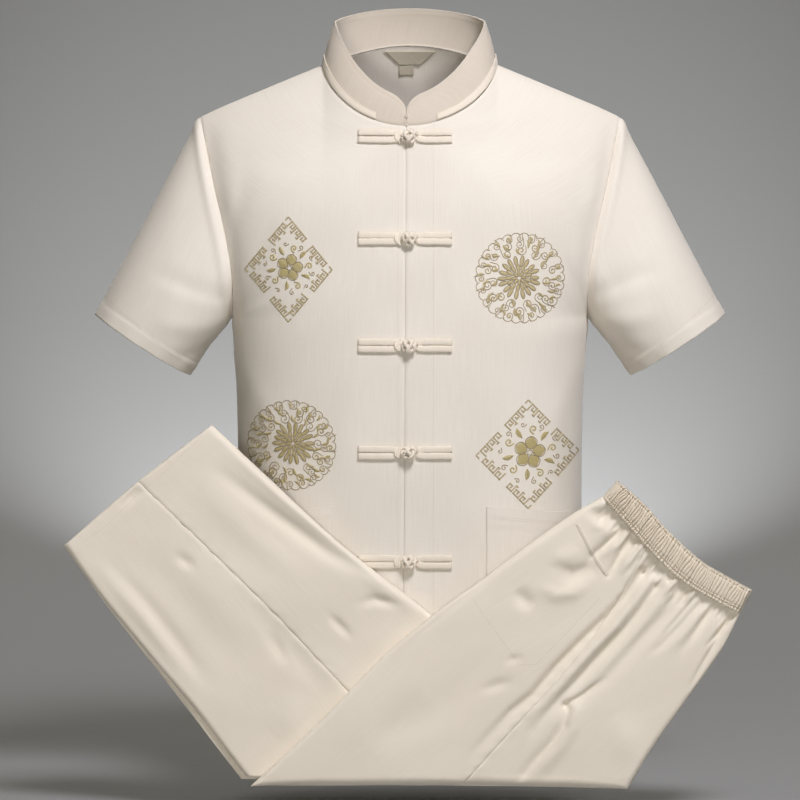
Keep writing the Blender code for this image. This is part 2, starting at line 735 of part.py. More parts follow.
def spread(total, fine, count):
    """Distances across a width: closer together at the rolled ends named in fine, count steps elsewhere."""
    start = [ROLL_RADIUS * share for share in (0.0, 0.12, 0.45)] if "start" in fine else []
    end = [total - ROLL_RADIUS * share for share in (0.45, 0.12, 0.0)] if "end" in fine else []
    first = ROLL_RADIUS if start else 0.0
    last = total - (ROLL_RADIUS if end else 0.0)
    middle = [first + (last - first) * k / count for k in range(count + 1)]
    return start + middle + end


def panel_rows(left, right, front_y, folds, fine, columns, rows, band=None):
    """Grid of a trouser panel between two edges, rolled back at the ends named in fine.

    band gives the shares of the waistband's lower edge between which the panel's top hangs in gathers.
    """
    length = math.dist(along(left, 0), along(left, 1))
    grid = []
    for row in range(rows + 1):
        v = row / rows
        down = v * length
        (x0, z0), (x1, z1) = along(left, v), along(right, v)
        width = math.hypot(x1 - x0, z1 - z0)
        line = []
        for far in spread(width, fine, columns):
            u = far / width
            x, z = x0 + (x1 - x0) * u, z0 + (z1 - z0) * u
            drop = 0.0
            edge = ROLL_RADIUS * 2
            if "start" in fine:
                drop = max(drop, roll(far, ROLL_RADIUS))
                edge = min(edge, far)
            if "end" in fine:
                drop = max(drop, roll(width - far, ROLL_RADIUS))
                edge = min(edge, width - far)
            fade = min(edge / ROLL_RADIUS, 1.0) * min(down / ROLL_RADIUS, 1.0)
            raised = fold_relief(folds, x, z) * fade
            if band:
                share = band[0] + (band[1] - band[0]) * u
                reach = max((v - BAND_REACH) / (1 - BAND_REACH), 0.0) ** 2
                edge_x, edge_z = along(BAND_LOW, share)
                end_x, end_z = along(left, 1.0)
                far_x, far_z = along(right, 1.0)
                x += (edge_x - end_x - (far_x - end_x) * u) * reach
                z += (edge_z - end_z - (far_z - end_z) * u) * reach
                near = math.exp(-(length - down) / GATHER_LENGTH * 2.2)
                raised += GATHER_HEIGHT * near * math.sin(math.pi * GATHERS * share) * fade
            line.append(Vector((x, front_y - raised + drop, z)))
        grid.append(line)
    return grid


def trimmed(rows, first=False, last=False, top=False):
    """Pull the seam sides of a grid in. Rows meet the seams on a slant, so this leaves about 0.4 mm between panels."""
    def pulled(point, towards):
        return point + (towards - point).normalized() * SEAM_GAP

    out = [list(row) for row in rows]
    for line in out:
        if first:
            line[0] = pulled(line[0], line[1])
        if last:
            line[-1] = pulled(line[-1], line[-2])
    if top:
        out[-1] = [pulled(p, q) for p, q in zip(out[-1], out[-2])]
    return out


def outline_loop(sides, count):
    """Points round an outline whose sides are polylines in order, count steps a side."""
    loop = []
    for points in sides:
        loop += [along(points, k / count) for k in range(count)]
    return loop


def inset_loop(loop, distance):
    """The outline moved in by a distance."""
    area = sum(a[0] * b[1] - b[0] * a[1] for a, b in zip(loop, loop[1:] + loop[:1]))
    way = 1 if area > 0 else -1
    out = []
    for k, (x, z) in enumerate(loop):
        (px, pz), (nx, nz) = loop[k - 1], loop[(k + 1) % len(loop)]
        a = Vector((x - px, z - pz)).normalized()
        b = Vector((nx - x, nz - z)).normalized()
        inward = way * (Vector((-a.y, a.x)) + Vector((-b.y, b.x)))
        sharp = max(inward.length / 2, 0.5)
        move = inward.normalized() * distance / sharp
        out.append((x + move.x, z + move.y))
    return out


def layers_object(name, loop, profile):
    """A solid of stacked outlines. profile rows are depth and inset, front first."""
    bm = bmesh.new()
    rings = []
    for y, inset in profile:
        rings.append([bm.verts.new((x, y, z)) for x, z in inset_loop(loop, inset)])
    for near, far in zip(rings, rings[1:]):
        for k in range(len(near)):
            n = (k + 1) % len(near)
            bm.faces.new((near[k], near[n], far[n], far[k]))
    for ring in (rings[0], rings[-1]):
        face = bm.faces.new(ring)
        bmesh.ops.triangulate(bm, faces=[face])
    finish_mesh(bm, name, CLOTH_COLOUR)


def layered_profile(front_y, back_y, wall):
    """Depths and insets of a core: slim inside the front wall, then two round edges, one for each layer."""
    middle = front_y + ROLL_RADIUS
    inner = ROLL_RADIUS - wall - CORE_GAP
    profile = [(front_y + wall + CORE_SINK, ROLL_RADIUS + 1.0 * MM)]
    profile.append((middle - 1.2 * MM, wall + CORE_GAP + inner * 0.12))
    profile.append((middle + REST_GAP, wall + CORE_GAP))
    depth = (back_y - middle - REST_GAP) / 2
    for layer in range(2):
        start = middle + REST_GAP + depth * layer
        inset = LAYER_STEP * layer
        profile.append((start + 0.04 * depth, inset + 1.0 * MM))
        profile.append((start + 0.35 * depth, inset))
        profile.append((start + 0.7 * depth, inset + 0.2 * MM))
        profile.append((start + 0.96 * depth, inset + 1.6 * MM))
    return profile


def ribbed_band(name, profile, wall_y, way):
    """Half of the elastic waistband. profile rows are the share of its height, its swell and its rib share."""
    length = math.dist(along(BAND_TOP, 0), along(BAND_TOP, 1)) * 1.02
    grid = []
    for v, swell, rib_share in profile:
        line = []
        for k, far in enumerate(spread(length, ("start", "end"), BAND_RIBS * 2 - 6)):
            u = far / length
            (x0, z0), (x1, z1) = along(BAND_LOW, u), along(BAND_TOP, u)
            drop = max(roll(far, ROLL_RADIUS), roll(length - far, ROLL_RADIUS))
            fade = min(far / ROLL_RADIUS, (length - far) / ROLL_RADIUS, 1.0)
            out = (BAND_SWELL * swell + RIB_HEIGHT * rib_share * (k % 2)) * fade - drop
            line.append(Vector((x0 + (x1 - x0) * v, wall_y - way * out, z0 + (z1 - z0) * v)))
        grid.append(line)
    shell_object(name, grid, BAND_THICKNESS, -way, CLOTH_COLOUR)


def make_pocket_edge(panel):
    """The folded lip along the mouth of the slanted side pocket."""
    trees = [surface_of(panel)]
    lower, upper = [], []
    for step in range(MOUTH_STEPS + 1):
        x, z = along(POCKET_MOUTH, step / MOUTH_STEPS)
        x1, z1 = along(POCKET_MOUTH, min(step / MOUTH_STEPS + 0.02, 1.0))
        x0, z0 = along(POCKET_MOUTH, max(step / MOUTH_STEPS - 0.02, 0.0))
        across = Vector((z1 - z0, 0, x0 - x1)).normalized() * MOUTH_WIDTH
        back_line, front_line = [], []
        for share in (-0.5, 0.0, 0.5):
            hit, normal = seat(trees, x + across.x * share, z + across.z * share)
            back_line.append(hit + Vector((0, -MOUTH_GAP, 0)))
            front_line.append(hit + Vector((0, -MOUTH_GAP - CLOTH, 0)))
        lower.append(back_line)
        upper.append(front_line)
    slab_object("trousers_pocket_edge", lower, upper, CLOTH_COLOUR)


def make_trousers():
    """The folded pack: the upper part in front, the legs behind it, and the waistband."""
    near_y = PACK_BACK_Y - FAR_THICKNESS - SEAM_GAP - NEAR_THICKNESS
    near_back = PACK_BACK_Y - FAR_THICKNESS - SEAM_GAP
    far_y = PACK_BACK_Y - FAR_THICKNESS

    near_front = panel_rows(NEAR_LEFT_EDGE, NEAR_SEAM, near_y, NEAR_FOLDS, ("start",), 11, 15, (0.0, SEAM_SHARE))
    near_side = panel_rows(NEAR_SEAM, NEAR_RIGHT_EDGE, near_y, NEAR_FOLDS, ("end",), 17, 15, (SEAM_SHARE, 1.0))
    shell_object("trousers_near_front", trimmed(near_front, last=True, top=True), CLOTH, -1.0, CLOTH_COLOUR)
    shell_object("trousers_near_back", trimmed(near_side, first=True, top=True), CLOTH, -1.0, CLOTH_COLOUR)

    far_lower = panel_rows(FAR_LOWER_EDGE, FAR_SEAM, far_y, FAR_FOLDS, ("start",), 6, 12)
    far_upper = panel_rows(FAR_SEAM, FAR_UPPER_EDGE, far_y, FAR_FOLDS, ("end",), 6, 12)
    shell_object("trousers_far_lower", trimmed(far_lower, last=True), CLOTH, -1.0, CLOTH_COLOUR)
    shell_object("trousers_far_upper", trimmed(far_upper, first=True), CLOTH, -1.0, CLOTH_COLOUR)

    bottom = [NEAR_LEFT_EDGE[0], NEAR_SEAM[0], NEAR_RIGHT_EDGE[0]]
    near_loop = outline_loop([NEAR_LEFT_EDGE, BAND_LOW, NEAR_RIGHT_EDGE[::-1], bottom[::-1]], 8)
    layers_object("trousers_near_layers", near_loop, layered_profile(near_y, near_back, CLOTH))
    hem = [FAR_LOWER_EDGE[-1], FAR_SEAM[-1], FAR_UPPER_EDGE[-1]]
    fold = [FAR_UPPER_EDGE[0], FAR_SEAM[0], FAR_LOWER_EDGE[0]]
    far_loop = outline_loop([FAR_LOWER_EDGE, hem, FAR_UPPER_EDGE[::-1], fold], 8)
    layers_object("trousers_far_layers", far_loop, layered_profile(far_y, PACK_BACK_Y, CLOTH))

    ribbed_band("waistband_near", NEAR_BAND_PROFILE, near_y, 1.0)
    ribbed_band("waistband_far", FAR_BAND_PROFILE, near_back, -1.0)
    make_pocket_edge(bpy.data.objects["trousers_near_front"])


clear_scene()
SUIT = bpy.data.collections.new("tang_suit")
bpy.context.scene.collection.children.link(SUIT)

form, panel_layer, panel_names, torso = jacket_form()
for index, panel_name in enumerate(panel_names):
    finish_mesh(wall_from_form(form, panel_layer, index), panel_name, CLOTH_COLOUR)
form.free()

make_collar(torso)
fronts = [surface_of(bpy.data.objects[name]) for name in ("jacket_front_right", "jacket_front_left")]
make_frogs(fronts)
make_pocket("pocket_right", -1, torso[-1][0])
make_pocket("pocket_left", 1, torso[1][0])

back_inside = [surface_of(bpy.data.objects["jacket_back"])]
make_label("neck_label", back_inside, ((-LABEL_TOP[0], LABEL_TOP[0]), (-LABEL_BOTTOM[0], LABEL_BOTTOM[0])),
           LABEL_TOP[1], LABEL_BOTTOM[1])
make_label("size_tab", back_inside, (TAB_X, TAB_X), TAB_Z[0], TAB_Z[1])
make_trousers()
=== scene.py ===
# %% [markdown]
# A tang suit: a short-sleeved jacket with a stand collar and knotted fastenings, filled out as worn, and
# its trousers folded flat in front of it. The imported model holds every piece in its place, in metres.
# Loading it first fixes the frame, and each cloth surface is then rebuilt finer in the same place.

# %% Load the frame
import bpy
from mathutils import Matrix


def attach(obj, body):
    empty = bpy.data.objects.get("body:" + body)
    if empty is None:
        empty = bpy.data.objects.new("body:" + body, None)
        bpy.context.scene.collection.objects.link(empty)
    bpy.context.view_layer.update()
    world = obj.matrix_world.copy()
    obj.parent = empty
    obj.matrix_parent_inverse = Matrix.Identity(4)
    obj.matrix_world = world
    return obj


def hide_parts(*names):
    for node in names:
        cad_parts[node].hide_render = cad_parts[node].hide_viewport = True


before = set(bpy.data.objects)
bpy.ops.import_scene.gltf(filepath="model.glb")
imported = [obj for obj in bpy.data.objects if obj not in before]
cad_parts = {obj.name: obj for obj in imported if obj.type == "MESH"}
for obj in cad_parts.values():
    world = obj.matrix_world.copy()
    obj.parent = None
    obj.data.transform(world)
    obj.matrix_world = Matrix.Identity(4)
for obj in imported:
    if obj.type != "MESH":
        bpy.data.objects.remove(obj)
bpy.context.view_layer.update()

import math
import random
from collections import namedtuple

import bmesh
import bpy
import numpy as np
from mathutils import Vector
from mathutils.bvhtree import BVHTree

MM = 0.001

# %% [markdown]
# The camera stands six metres away, four degrees above level, as the long lens of a shop photograph does.
# From so far the suit is nearly free of perspective. The floor is one wide sheet of plain paper that turns
# up into a wall nine metres behind, well outside the circle on which the camera may walk round.

# %% Camera and floor
AIM = Vector((-0.0114, 0.0, -0.382))
DISTANCE = 6.0
ELEVATION = math.radians(4.0)
SPAN = 0.912
FLOOR_Z = -0.835
FLOOR_HALF = 15.0
WALL_Y = 15.0
WALL_HEIGHT = 13.0
WALL_CURVE = 12.0

lens = bpy.data.cameras.new("camera")
lens.sensor_width = 36.0
lens.lens = lens.sensor_width * DISTANCE / SPAN
camera = bpy.data.objects.new("camera", lens)
camera.location = AIM + Vector((0.0, -math.cos(ELEVATION), math.sin(ELEVATION))) * DISTANCE
camera.rotation_euler = (math.pi / 2 - ELEVATION, 0.0, 0.0)
bpy.context.scene.collection.objects.link(camera)
bpy.context.scene.camera = camera

profile = [(-FLOOR_HALF, FLOOR_Z)]
for step in range(25):
    bend = math.pi / 2 * step / 24
    profile.append((WALL_Y - WALL_CURVE * (1 - math.sin(bend)), FLOOR_Z + WALL_CURVE * (1 - math.cos(bend))))
profile.append((WALL_Y, FLOOR_Z + WALL_HEIGHT))
floor_points = [(x, y, z) for y, z in profile for x in (-FLOOR_HALF, FLOOR_HALF)]
floor_faces = [(2 * k, 2 * k + 1, 2 * k + 3, 2 * k + 2) for k in range(len(profile) - 1)]
floor_mesh = bpy.data.meshes.new("floor")
floor_mesh.from_pydata(floor_points, [], floor_faces)
floor_mesh.shade_smooth()
floor = bpy.data.objects.new("floor", floor_mesh)
bpy.context.scene.collection.objects.link(floor)
print("lens", round(lens.lens, 1), "mm")

# %% [markdown]
# Cream cloth keeps its form only if the light has a direction. One broad soft lamp above the camera and to the
# right gives the bright chest, a smaller low one in front lifts the trousers, and the rest of the studio is dim,
# so that the flanks and the undersides of the sleeves fall into a warm shade.

# %% Lights
Lamp = namedtuple("Lamp", "name place aim size power colour")
LAMPS = [
    Lamp("key", (0.76, -1.95, 2.05), (0.0, 0.0, -0.42), 0.9, 80.0, (1.0, 0.985, 1.05)),
    Lamp("low_fill", (-0.25, -3.8, -0.48), (0.0, 0.0, -0.70), 0.6, 31.0, (1.0, 0.985, 0.95)),
    Lamp("back", (0.1, 3.4, 2.2), (0.0, 0.0, -0.35), 1.6, 36.0, (1.0, 0.97, 0.93)),
    Lamp("sheet", (0.0, 3.6, 5.0), (0.0, 6.0, -0.60), 3.5, 110.0, (1.0, 1.0, 1.0)),
]
HALO_POWER = 3900.0
HALO_CONE = math.radians(32.0)
WORLD_SIDE = (0.13, 0.10, 0.022, 1.0)
WORLD_FRONT = (0.32, 0.27, 0.15, 1.0)
WORLD_STRENGTH = 0.40

for lamp in LAMPS:
    light = bpy.data.lights.new(lamp.name, "AREA")
    light.shape = "DISK"
    light.size = lamp.size
    light.energy = lamp.power
    light.color = lamp.colour
    holder = bpy.data.objects.new(lamp.name, light)
    holder.location = lamp.place
    holder.rotation_euler = (Vector(lamp.aim) - Vector(lamp.place)).to_track_quat("-Z", "Y").to_euler()
    bpy.context.scene.collection.objects.link(holder)

halo_light = bpy.data.lights.new("halo", "SPOT")
halo_light.energy = HALO_POWER
halo_light.spot_size = HALO_CONE
halo_light.spot_blend = 1.0
halo_light.shadow_soft_size = 0.05
halo = bpy.data.objects.new("halo", halo_light)
halo.location = (-0.005, 0.35, -0.36)
halo.rotation_euler = (math.pi / 2 - ELEVATION / 2, 0.0, 0.0)
bpy.context.scene.collection.objects.link(halo)

bpy.context.scene.view_settings.view_transform = "Standard"
print("lamps", len(LAMPS))

# %% [markdown]
# A material is a small tree of nodes. One function adds a node with its settings and its links, and one
# turns the hex colours that a maker would write down into the linear values that the shader works with.

# %% Node and colour helpers
def linear(code):
    """An sRGB hex colour as linear red, green, blue and alpha."""
    parts = [int(code[i:i + 2], 16) / 255 for i in (1, 3, 5)]
    return tuple(c / 12.92 if c <= 0.04045 else ((c + 0.055) / 1.055) ** 2.4 for c in parts) + (1.0,)


def put(tree, kind, inputs=None, **settings):
    """Add a node: settings are its own properties, inputs a value or another node's output for each socket."""
    node = tree.nodes.new(kind)
    for key, value in settings.items():
        setattr(node, key, value)
    for key, value in (inputs or {}).items():
        if isinstance(value, bpy.types.NodeSocket):
            tree.links.new(value, node.inputs[key])
        else:
            node.inputs[key].default_value = value
    return node


world = bpy.data.worlds.new("studio")
bpy.context.scene.world = world
world.use_nodes = True
sky = world.node_tree
sky.nodes.clear()
view_way = put(sky, "ShaderNodeTexCoord")
parts = put(sky, "ShaderNodeSeparateXYZ", {0: view_way.outputs["Generated"]})
sideways = put(sky, "ShaderNodeMath", {0: parts.outputs["X"]}, operation="ABSOLUTE")
blend = put(sky, "ShaderNodeMapRange", {0: sideways.outputs[0], 1: 0.25, 2: 0.85, 3: 0.0, 4: 1.0})
tint = put(sky, "ShaderNodeMix", {0: blend.outputs[0], 6: WORLD_FRONT, 7: WORLD_SIDE}, data_type="RGBA")
glow = put(sky, "ShaderNodeBackground", {"Color": tint.outputs[2], "Strength": WORLD_STRENGTH})
put(sky, "ShaderNodeOutputWorld", {"Surface": glow.outputs[0]})

floor_paint = bpy.data.materials.new("matt grey studio paper")
floor_paint.use_nodes = True
floor_shader = floor_paint.node_tree.nodes["Principled BSDF"]
floor_shader.inputs["Base Color"].default_value = linear("#8c8d8e")
floor_shader.inputs["Roughness"].default_value = 0.9
floor_mesh.materials.append(floor_paint)
print("world and floor ready")

# %% [markdown]
# The cloth is a light plain weave of cotton and a slubby thread: matt, cream, with fine streaks that run
# down the grain where the thread is thicker. The real thread is about 0.3 mm, too fine to show here, so
# the streaks are drawn about 1.3 mm wide and 40 mm long, with a finer crosswise thread under them. The
# pattern follows each piece's own UV map, which is laid out in metres along and across the grain.

# %% Cloth materials
SLUB_ACROSS = 760.0
SLUB_ALONG = 24.0
PICK_ACROSS = 90.0
PICK_ALONG = 900.0


def cloth_material(name, light, shade, slub, bump, sheen=0.25, roughness=0.82):
    """Woven cloth: two sets of streaks, one for each thread direction, and slow changes of tone."""
    made = bpy.data.materials.new(name)
    made.use_nodes = True
    tree = made.node_tree
    shader = tree.nodes["Principled BSDF"]
    grain = put(tree, "ShaderNodeUVMap", uv_map="grain")
    down = put(tree, "ShaderNodeMapping", {0: grain.outputs[0], "Scale": (SLUB_ACROSS, SLUB_ALONG, 1.0)})
    across = put(tree, "ShaderNodeMapping", {0: grain.outputs[0], "Scale": (PICK_ACROSS, PICK_ALONG, 1.0)})
    warp = put(tree, "ShaderNodeTexNoise", {"Vector": down.outputs[0], "Scale": 1.0, "Detail": 2.0})
    weft = put(tree, "ShaderNodeTexNoise", {"Vector": across.outputs[0], "Scale": 1.0, "Detail": 1.0})
    slow = put(tree, "ShaderNodeTexNoise", {"Vector": grain.outputs[0], "Scale": 9.0, "Detail": 1.0})
    threads = put(tree, "ShaderNodeMix", {0: 0.3, 2: warp.outputs[0], 3: weft.outputs[0]}, data_type="FLOAT")
    tone = put(tree, "ShaderNodeMath", {0: threads.outputs[0], 1: slow.outputs[0]}, operation="ADD")
    spread = put(tree, "ShaderNodeMapRange", {0: tone.outputs[0], 1: 1.0 - slub, 2: 1.0 + slub, 3: 0.0, 4: 1.0})
    colour = put(tree, "ShaderNodeMix", {0: spread.outputs[0], 6: linear(shade), 7: linear(light)}, data_type="RGBA")
    relief = put(tree, "ShaderNodeBump", {"Strength": bump, "Distance": 0.4 * MM, "Height": threads.outputs[0]})
    tree.links.new(colour.outputs[2], shader.inputs["Base Color"])
    tree.links.new(relief.outputs[0], shader.inputs["Normal"])
    shader.inputs["Roughness"].default_value = roughness
    shader.inputs["Sheen Weight"].default_value = sheen
    shader.inputs["Sheen Roughness"].default_value = 0.5
    shader.inputs["Specular IOR Level"].default_value = 0.25
    return made


JACKET_CLOTH = cloth_material("slub plain weave, cream", "#f0eae0", "#e4dccf", 0.42, 0.34)
TROUSER_CLOTH = cloth_material("slub plain weave, cream, pressed", "#f4ecde", "#e9dfce", 0.42, 0.26)
TRIM_CLOTH = cloth_material("bias strip of the same cloth", "#f2e9db", "#e7dccb", 0.4, 0.3)
BAND_CLOTH = cloth_material("gathered cloth over elastic", "#e9dfce", "#d9cdb9", 0.4, 0.3)
# The collar is the jacket's own cloth; its darker colour is painted shade.
COLLAR_CLOTH_PAINTED_SHADE = cloth_material("interfaced collar cloth, darkened as painted shade", "#dcd3c6", "#cec3b3", 0.42, 0.3)
LABEL_CLOTH = cloth_material("woven ribbon, bare", "#cfc8b8", "#b9b09c", 0.35, 0.3, roughness=0.5)


# %% [markdown]
# The embroidery is rayon thread in satin stitch. The threads lie side by side across each stroke, so the
# stroke is glossy and finely lined. Real thread is 0.25 mm; it is drawn at 0.8 mm. The sewing thread is
# cotton in the cloth's own colour, a little brighter.

# %% Thread materials
THREAD_PITCH = 0.8 * MM


def thread_material(name, light, shade, roughness, sheen):
    """Satin stitch: fine lines across the stroke, drawn along the UV's first axis."""
    made = bpy.data.materials.new(name)
    made.use_nodes = True
    tree = made.node_tree
    shader = tree.nodes["Principled BSDF"]
    run = put(tree, "ShaderNodeUVMap", uv_map="grain")
    lines = put(tree, "ShaderNodeTexWave", {"Vector": run.outputs[0], "Scale": 0.32 / THREAD_PITCH, "Distortion": 1.5,
                                            "Detail": 1.0}, wave_type="BANDS", bands_direction="X")
    colour = put(tree, "ShaderNodeMix", {0: lines.outputs["Fac"], 6: linear(shade), 7: linear(light)}, data_type="RGBA")
    relief = put(tree, "ShaderNodeBump", {"Strength": 0.4, "Distance": 0.3 * MM, "Height": lines.outputs["Fac"]})
    tree.links.new(colour.outputs[2], shader.inputs["Base Color"])
    tree.links.new(relief.outputs[0], shader.inputs["Normal"])
    shader.inputs["Roughness"].default_value = roughness
    shader.inputs["Sheen Weight"].default_value = sheen
    return made


GOLD_THREAD = thread_material("rayon satin stitch, old gold", "#cabc88", "#aa9c68", 0.36, 0.3)
PALE_GOLD_THREAD = thread_material("rayon satin stitch, pale gold", "#d2c498", "#b5a67a", 0.38, 0.3)
OUTLINE_THREAD = thread_material("rayon outline stitch, taupe", "#ab9b7a", "#8e7e62", 0.45, 0.2)
FRET_THREAD = thread_material("rayon outline stitch, light taupe", "#b3a381", "#93835f", 0.45, 0.2)


def sewing_material(name, light, shade):
    """Cotton sewing thread: a little uneven in colour from stitch to stitch."""
    made = bpy.data.materials.new(name)
    made.use_nodes = True
    tree = made.node_tree
    shader = tree.nodes["Principled BSDF"]
    place = put(tree, "ShaderNodeTexCoord")
    speck = put(tree, "ShaderNodeTexNoise", {"Vector": place.outputs["Object"], "Scale": 1 / (3.0 * MM), "Detail": 1.0})
    colour = put(tree, "ShaderNodeMix", {0: speck.outputs["Fac"], 6: linear(shade), 7: linear(light)}, data_type="RGBA")
    tree.links.new(colour.outputs[2], shader.inputs["Base Color"])
    shader.inputs["Roughness"].default_value = 0.65
    shader.inputs["Sheen Weight"].default_value = 0.3
    return made


SEWING_THREAD = sewing_material("cotton sewing thread, cream", "#e9dfcd", "#bfb39a")
print("materials", len(bpy.data.materials))

# %% [markdown]
# Every cloth piece is a grid of points. One function turns such a grid into a mesh, writes the grain map
# in metres from the distances between the points, and a Solidify modifier gives it the cloth's thickness.

# %% Cloth from a grid
CLOTH = 1.1 * MM
made_pieces = []


def steps_along(points, axis):
    """Running length of a grid of points along one axis."""
    gaps = np.linalg.norm(np.diff(points, axis=axis), axis=2)
    start = np.zeros_like(np.take(gaps, [0], axis=axis))
    return np.cumsum(np.concatenate([start, gaps], axis=axis), axis=axis)


def mesh_object(name, verts, faces, uvs, material):
    """A named piece from points, faces and one UV for each point."""
    mesh = bpy.data.meshes.new(name)
    mesh.from_pydata([tuple(v) for v in verts], [], faces)
    layer = mesh.uv_layers.new(name="grain")
    index = np.empty(len(mesh.loops), dtype=np.int32)
    mesh.loops.foreach_get("vertex_index", index)
    layer.data.foreach_set("uv", np.asarray(uvs, dtype=np.float32)[index].ravel())
    mesh.shade_smooth()
    mesh.materials.append(material)
    piece = bpy.data.objects.new(name, mesh)
    bpy.context.scene.collection.objects.link(piece)
    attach(piece, "root")
    made_pieces.append(name)
    return piece


def grid_faces(rows, columns, closed, flip):
    """Quads of a grid whose last column may join its first."""
    faces = []
    for i in range(rows - 1):
        for k in range(columns if closed else columns - 1):
            n = (k + 1) % columns
            quad = (i * columns + k, i * columns + n, (i + 1) * columns + n, (i + 1) * columns + k)
            faces.append(quad[::-1] if flip else quad)
    return faces


def cloth_piece(name, points, material, thickness=CLOTH, closed=False, flip=False, start=0.0):
    """A sheet of cloth whose grid is its outer face. start shifts the grain map across."""
    rows, columns = points.shape[:2]
    across = steps_along(points, 1) + start
    along = steps_along(points, 0)
    uvs = np.stack([across, along], axis=2).reshape(-1, 2)
    piece = mesh_object(name, points.reshape(-1, 3), grid_faces(rows, columns, closed, flip), uvs, material)
    wall = piece.modifiers.new("thickness", "SOLIDIFY")
    wall.thickness = thickness
    wall.offset = -1.0
    return piece


def state_sheet(piece, grids, held, rests_on=(), with_pieces=()):
    """Declare a piece with the flat size its own grids give, side by side."""
    # Put the grids into a list; nothing is declared and no flat size is measured.
    grids = grids if isinstance(grids, list) else [grids]


def grid_normals(points):
    """Unit normals of a grid of points."""
    across = np.gradient(points, axis=1)
    along = np.gradient(points, axis=0)
    normals = np.cross(across, along)
    return normals / np.maximum(np.linalg.norm(normals, axis=2, keepdims=True), 1e-12)


# %% [markdown]
# Folds in cloth are long soft hills and valleys. Each is a short path in the front view with a width and a
# height, and it may be steeper on one side. Adding a table of them gives the main creases.

# %% Folds
Fold = namedtuple("Fold", "path width height lean ends", defaults=(0.0, (0.25, 0.25)))


def relief(folds, x, z):
    """Height of a table of folds at every point. Paths, widths and heights are in millimetres."""
    total = np.zeros_like(x)
    for fold in folds:
        path = np.array(fold.path, dtype=float) * MM
        spans = np.linalg.norm(np.diff(path, axis=0), axis=1)
        nearest = np.full(x.shape, 9.0)
        share = np.zeros_like(x)
        side = np.zeros_like(x)
        done = 0.0
        for (ax, az), (bx, bz), span in zip(path, path[1:], spans):
            dx, dz = bx - ax, bz - az
            t = np.clip(((x - ax) * dx + (z - az) * dz) / span ** 2, 0.0, 1.0)
            off_x, off_z = x - ax - t * dx, z - az - t * dz
            gap = np.hypot(off_x, off_z)
            closer = gap < nearest
            nearest = np.where(closer, gap, nearest)
            share = np.where(closer, (done + t * span) / spans.sum(), share)
            side = np.where(closer, np.sign(off_x * dz - off_z * dx), side)
            done += span
        first, last = fold.ends
        strength = np.where(share < 0.5, first + (1 - first) * np.sin(np.pi * share) ** 1.2,
                            last + (1 - last) * np.sin(np.pi * share) ** 1.2)
        width = fold.width * MM * (1 + fold.lean * side)
        total += fold.height * MM * strength * np.exp(-(nearest / width) ** 2)
    return total


# %% [markdown]
# The jacket's body is one rounded form. Seen from above it is a flattened oval, and towards the shoulder
# seams its depth closes like a dome. The sizes are the ones that the solid model was made from, so the
# finer surface lies where the solids are.

# %% Jacket sizes
NECK_HALF = 98.0 * MM
NECK_FRONT_DROP = 68.0 * MM
NECK_BACK_RISE = 20.0 * MM
NECK_RIDGE = 100.0 * MM
SHOULDER_TIP_X = 238.0 * MM
SHOULDER_TIP_Z = -58.0 * MM
ARMPIT_Z = -286.0 * MM
HEM_Z = -722.0 * MM
DOME_HEIGHT = 160.0 * MM
ROUNDNESS = 2.5
ARMHOLE_FULLNESS = 0.55
ARMHOLE_ROUND = 70.0 * MM
CENTRE_FRONT_X = -4.0 * MM
CENTRE_FRONT_LEAN = 0.0055
BODY_ROWS = 7
ARMHOLE_ROWS = 12
NECK_ROWS = {"front": 7, "back": 5}
FINE = 6
SEAM_GAP = 0.3 * MM
SHOWN_GAP = 0.08 * MM

Section = namedtuple("Section", "height half_width front back")
BODY_SECTIONS = [
    Section(0.030, 0.2010, 0.075, 0.068),
    Section(-0.068, 0.2010, 0.084, 0.090),
    Section(-0.160, 0.2010, 0.108, 0.108),
    Section(-0.286, 0.2020, 0.124, 0.113),
    Section(-0.370, 0.1975, 0.128, 0.108),
    Section(-0.500, 0.1957, 0.130, 0.104),
    Section(-0.620, 0.1970, 0.129, 0.108),
    Section(-0.725, 0.1990, 0.128, 0.112),
]
SeamPoint = namedtuple("SeamPoint", "height reach")
ARMHOLE_SEAM = [
    SeamPoint(-0.058, 0.2380), SeamPoint(-0.097, 0.2320), SeamPoint(-0.141, 0.2235), SeamPoint(-0.187, 0.2130),
    SeamPoint(-0.234, 0.2050), SeamPoint(-0.263, 0.2025), SeamPoint(-0.286, 0.2020),
]


# %% Jacket body surface
def smooth_value(rows, column, at):
    """A column of a table at a height, along a smooth curve through its rows."""
    rows = sorted(rows, key=lambda row: row[0])
    heights = [row[0] for row in rows]
    values = [getattr(row, column) for row in rows]
    if at <= heights[0]:
        return values[0]
    if at >= heights[-1]:
        return values[-1]
    i = max(k for k in range(len(heights) - 1) if heights[k] <= at)
    step = heights[i + 1] - heights[i]
    t = (at - heights[i]) / step

    def slope(k):
        low, high = max(k - 1, 0), min(k + 1, len(heights) - 1)
        return (values[high] - values[low]) / (heights[high] - heights[low]) * step

    cubic = t * t * (3 - 2 * t)
    return (values[i] * (1 - cubic) + values[i + 1] * cubic
            + slope(i) * t * (1 - t) ** 2 - slope(i + 1) * t * t * (1 - t))


LEVELS = np.linspace(-0.73, 0.03, 600)
DEPTHS = {face: np.array([smooth_value(BODY_SECTIONS, face, z) for z in LEVELS]) for face in ("front", "back")}


def centre_front_x(height):
    """The closing line leans slightly towards the wearer's right on its way down."""
    return CENTRE_FRONT_X + CENTRE_FRONT_LEAN * height


MIDDLE_SOFT = 30.0 * MM


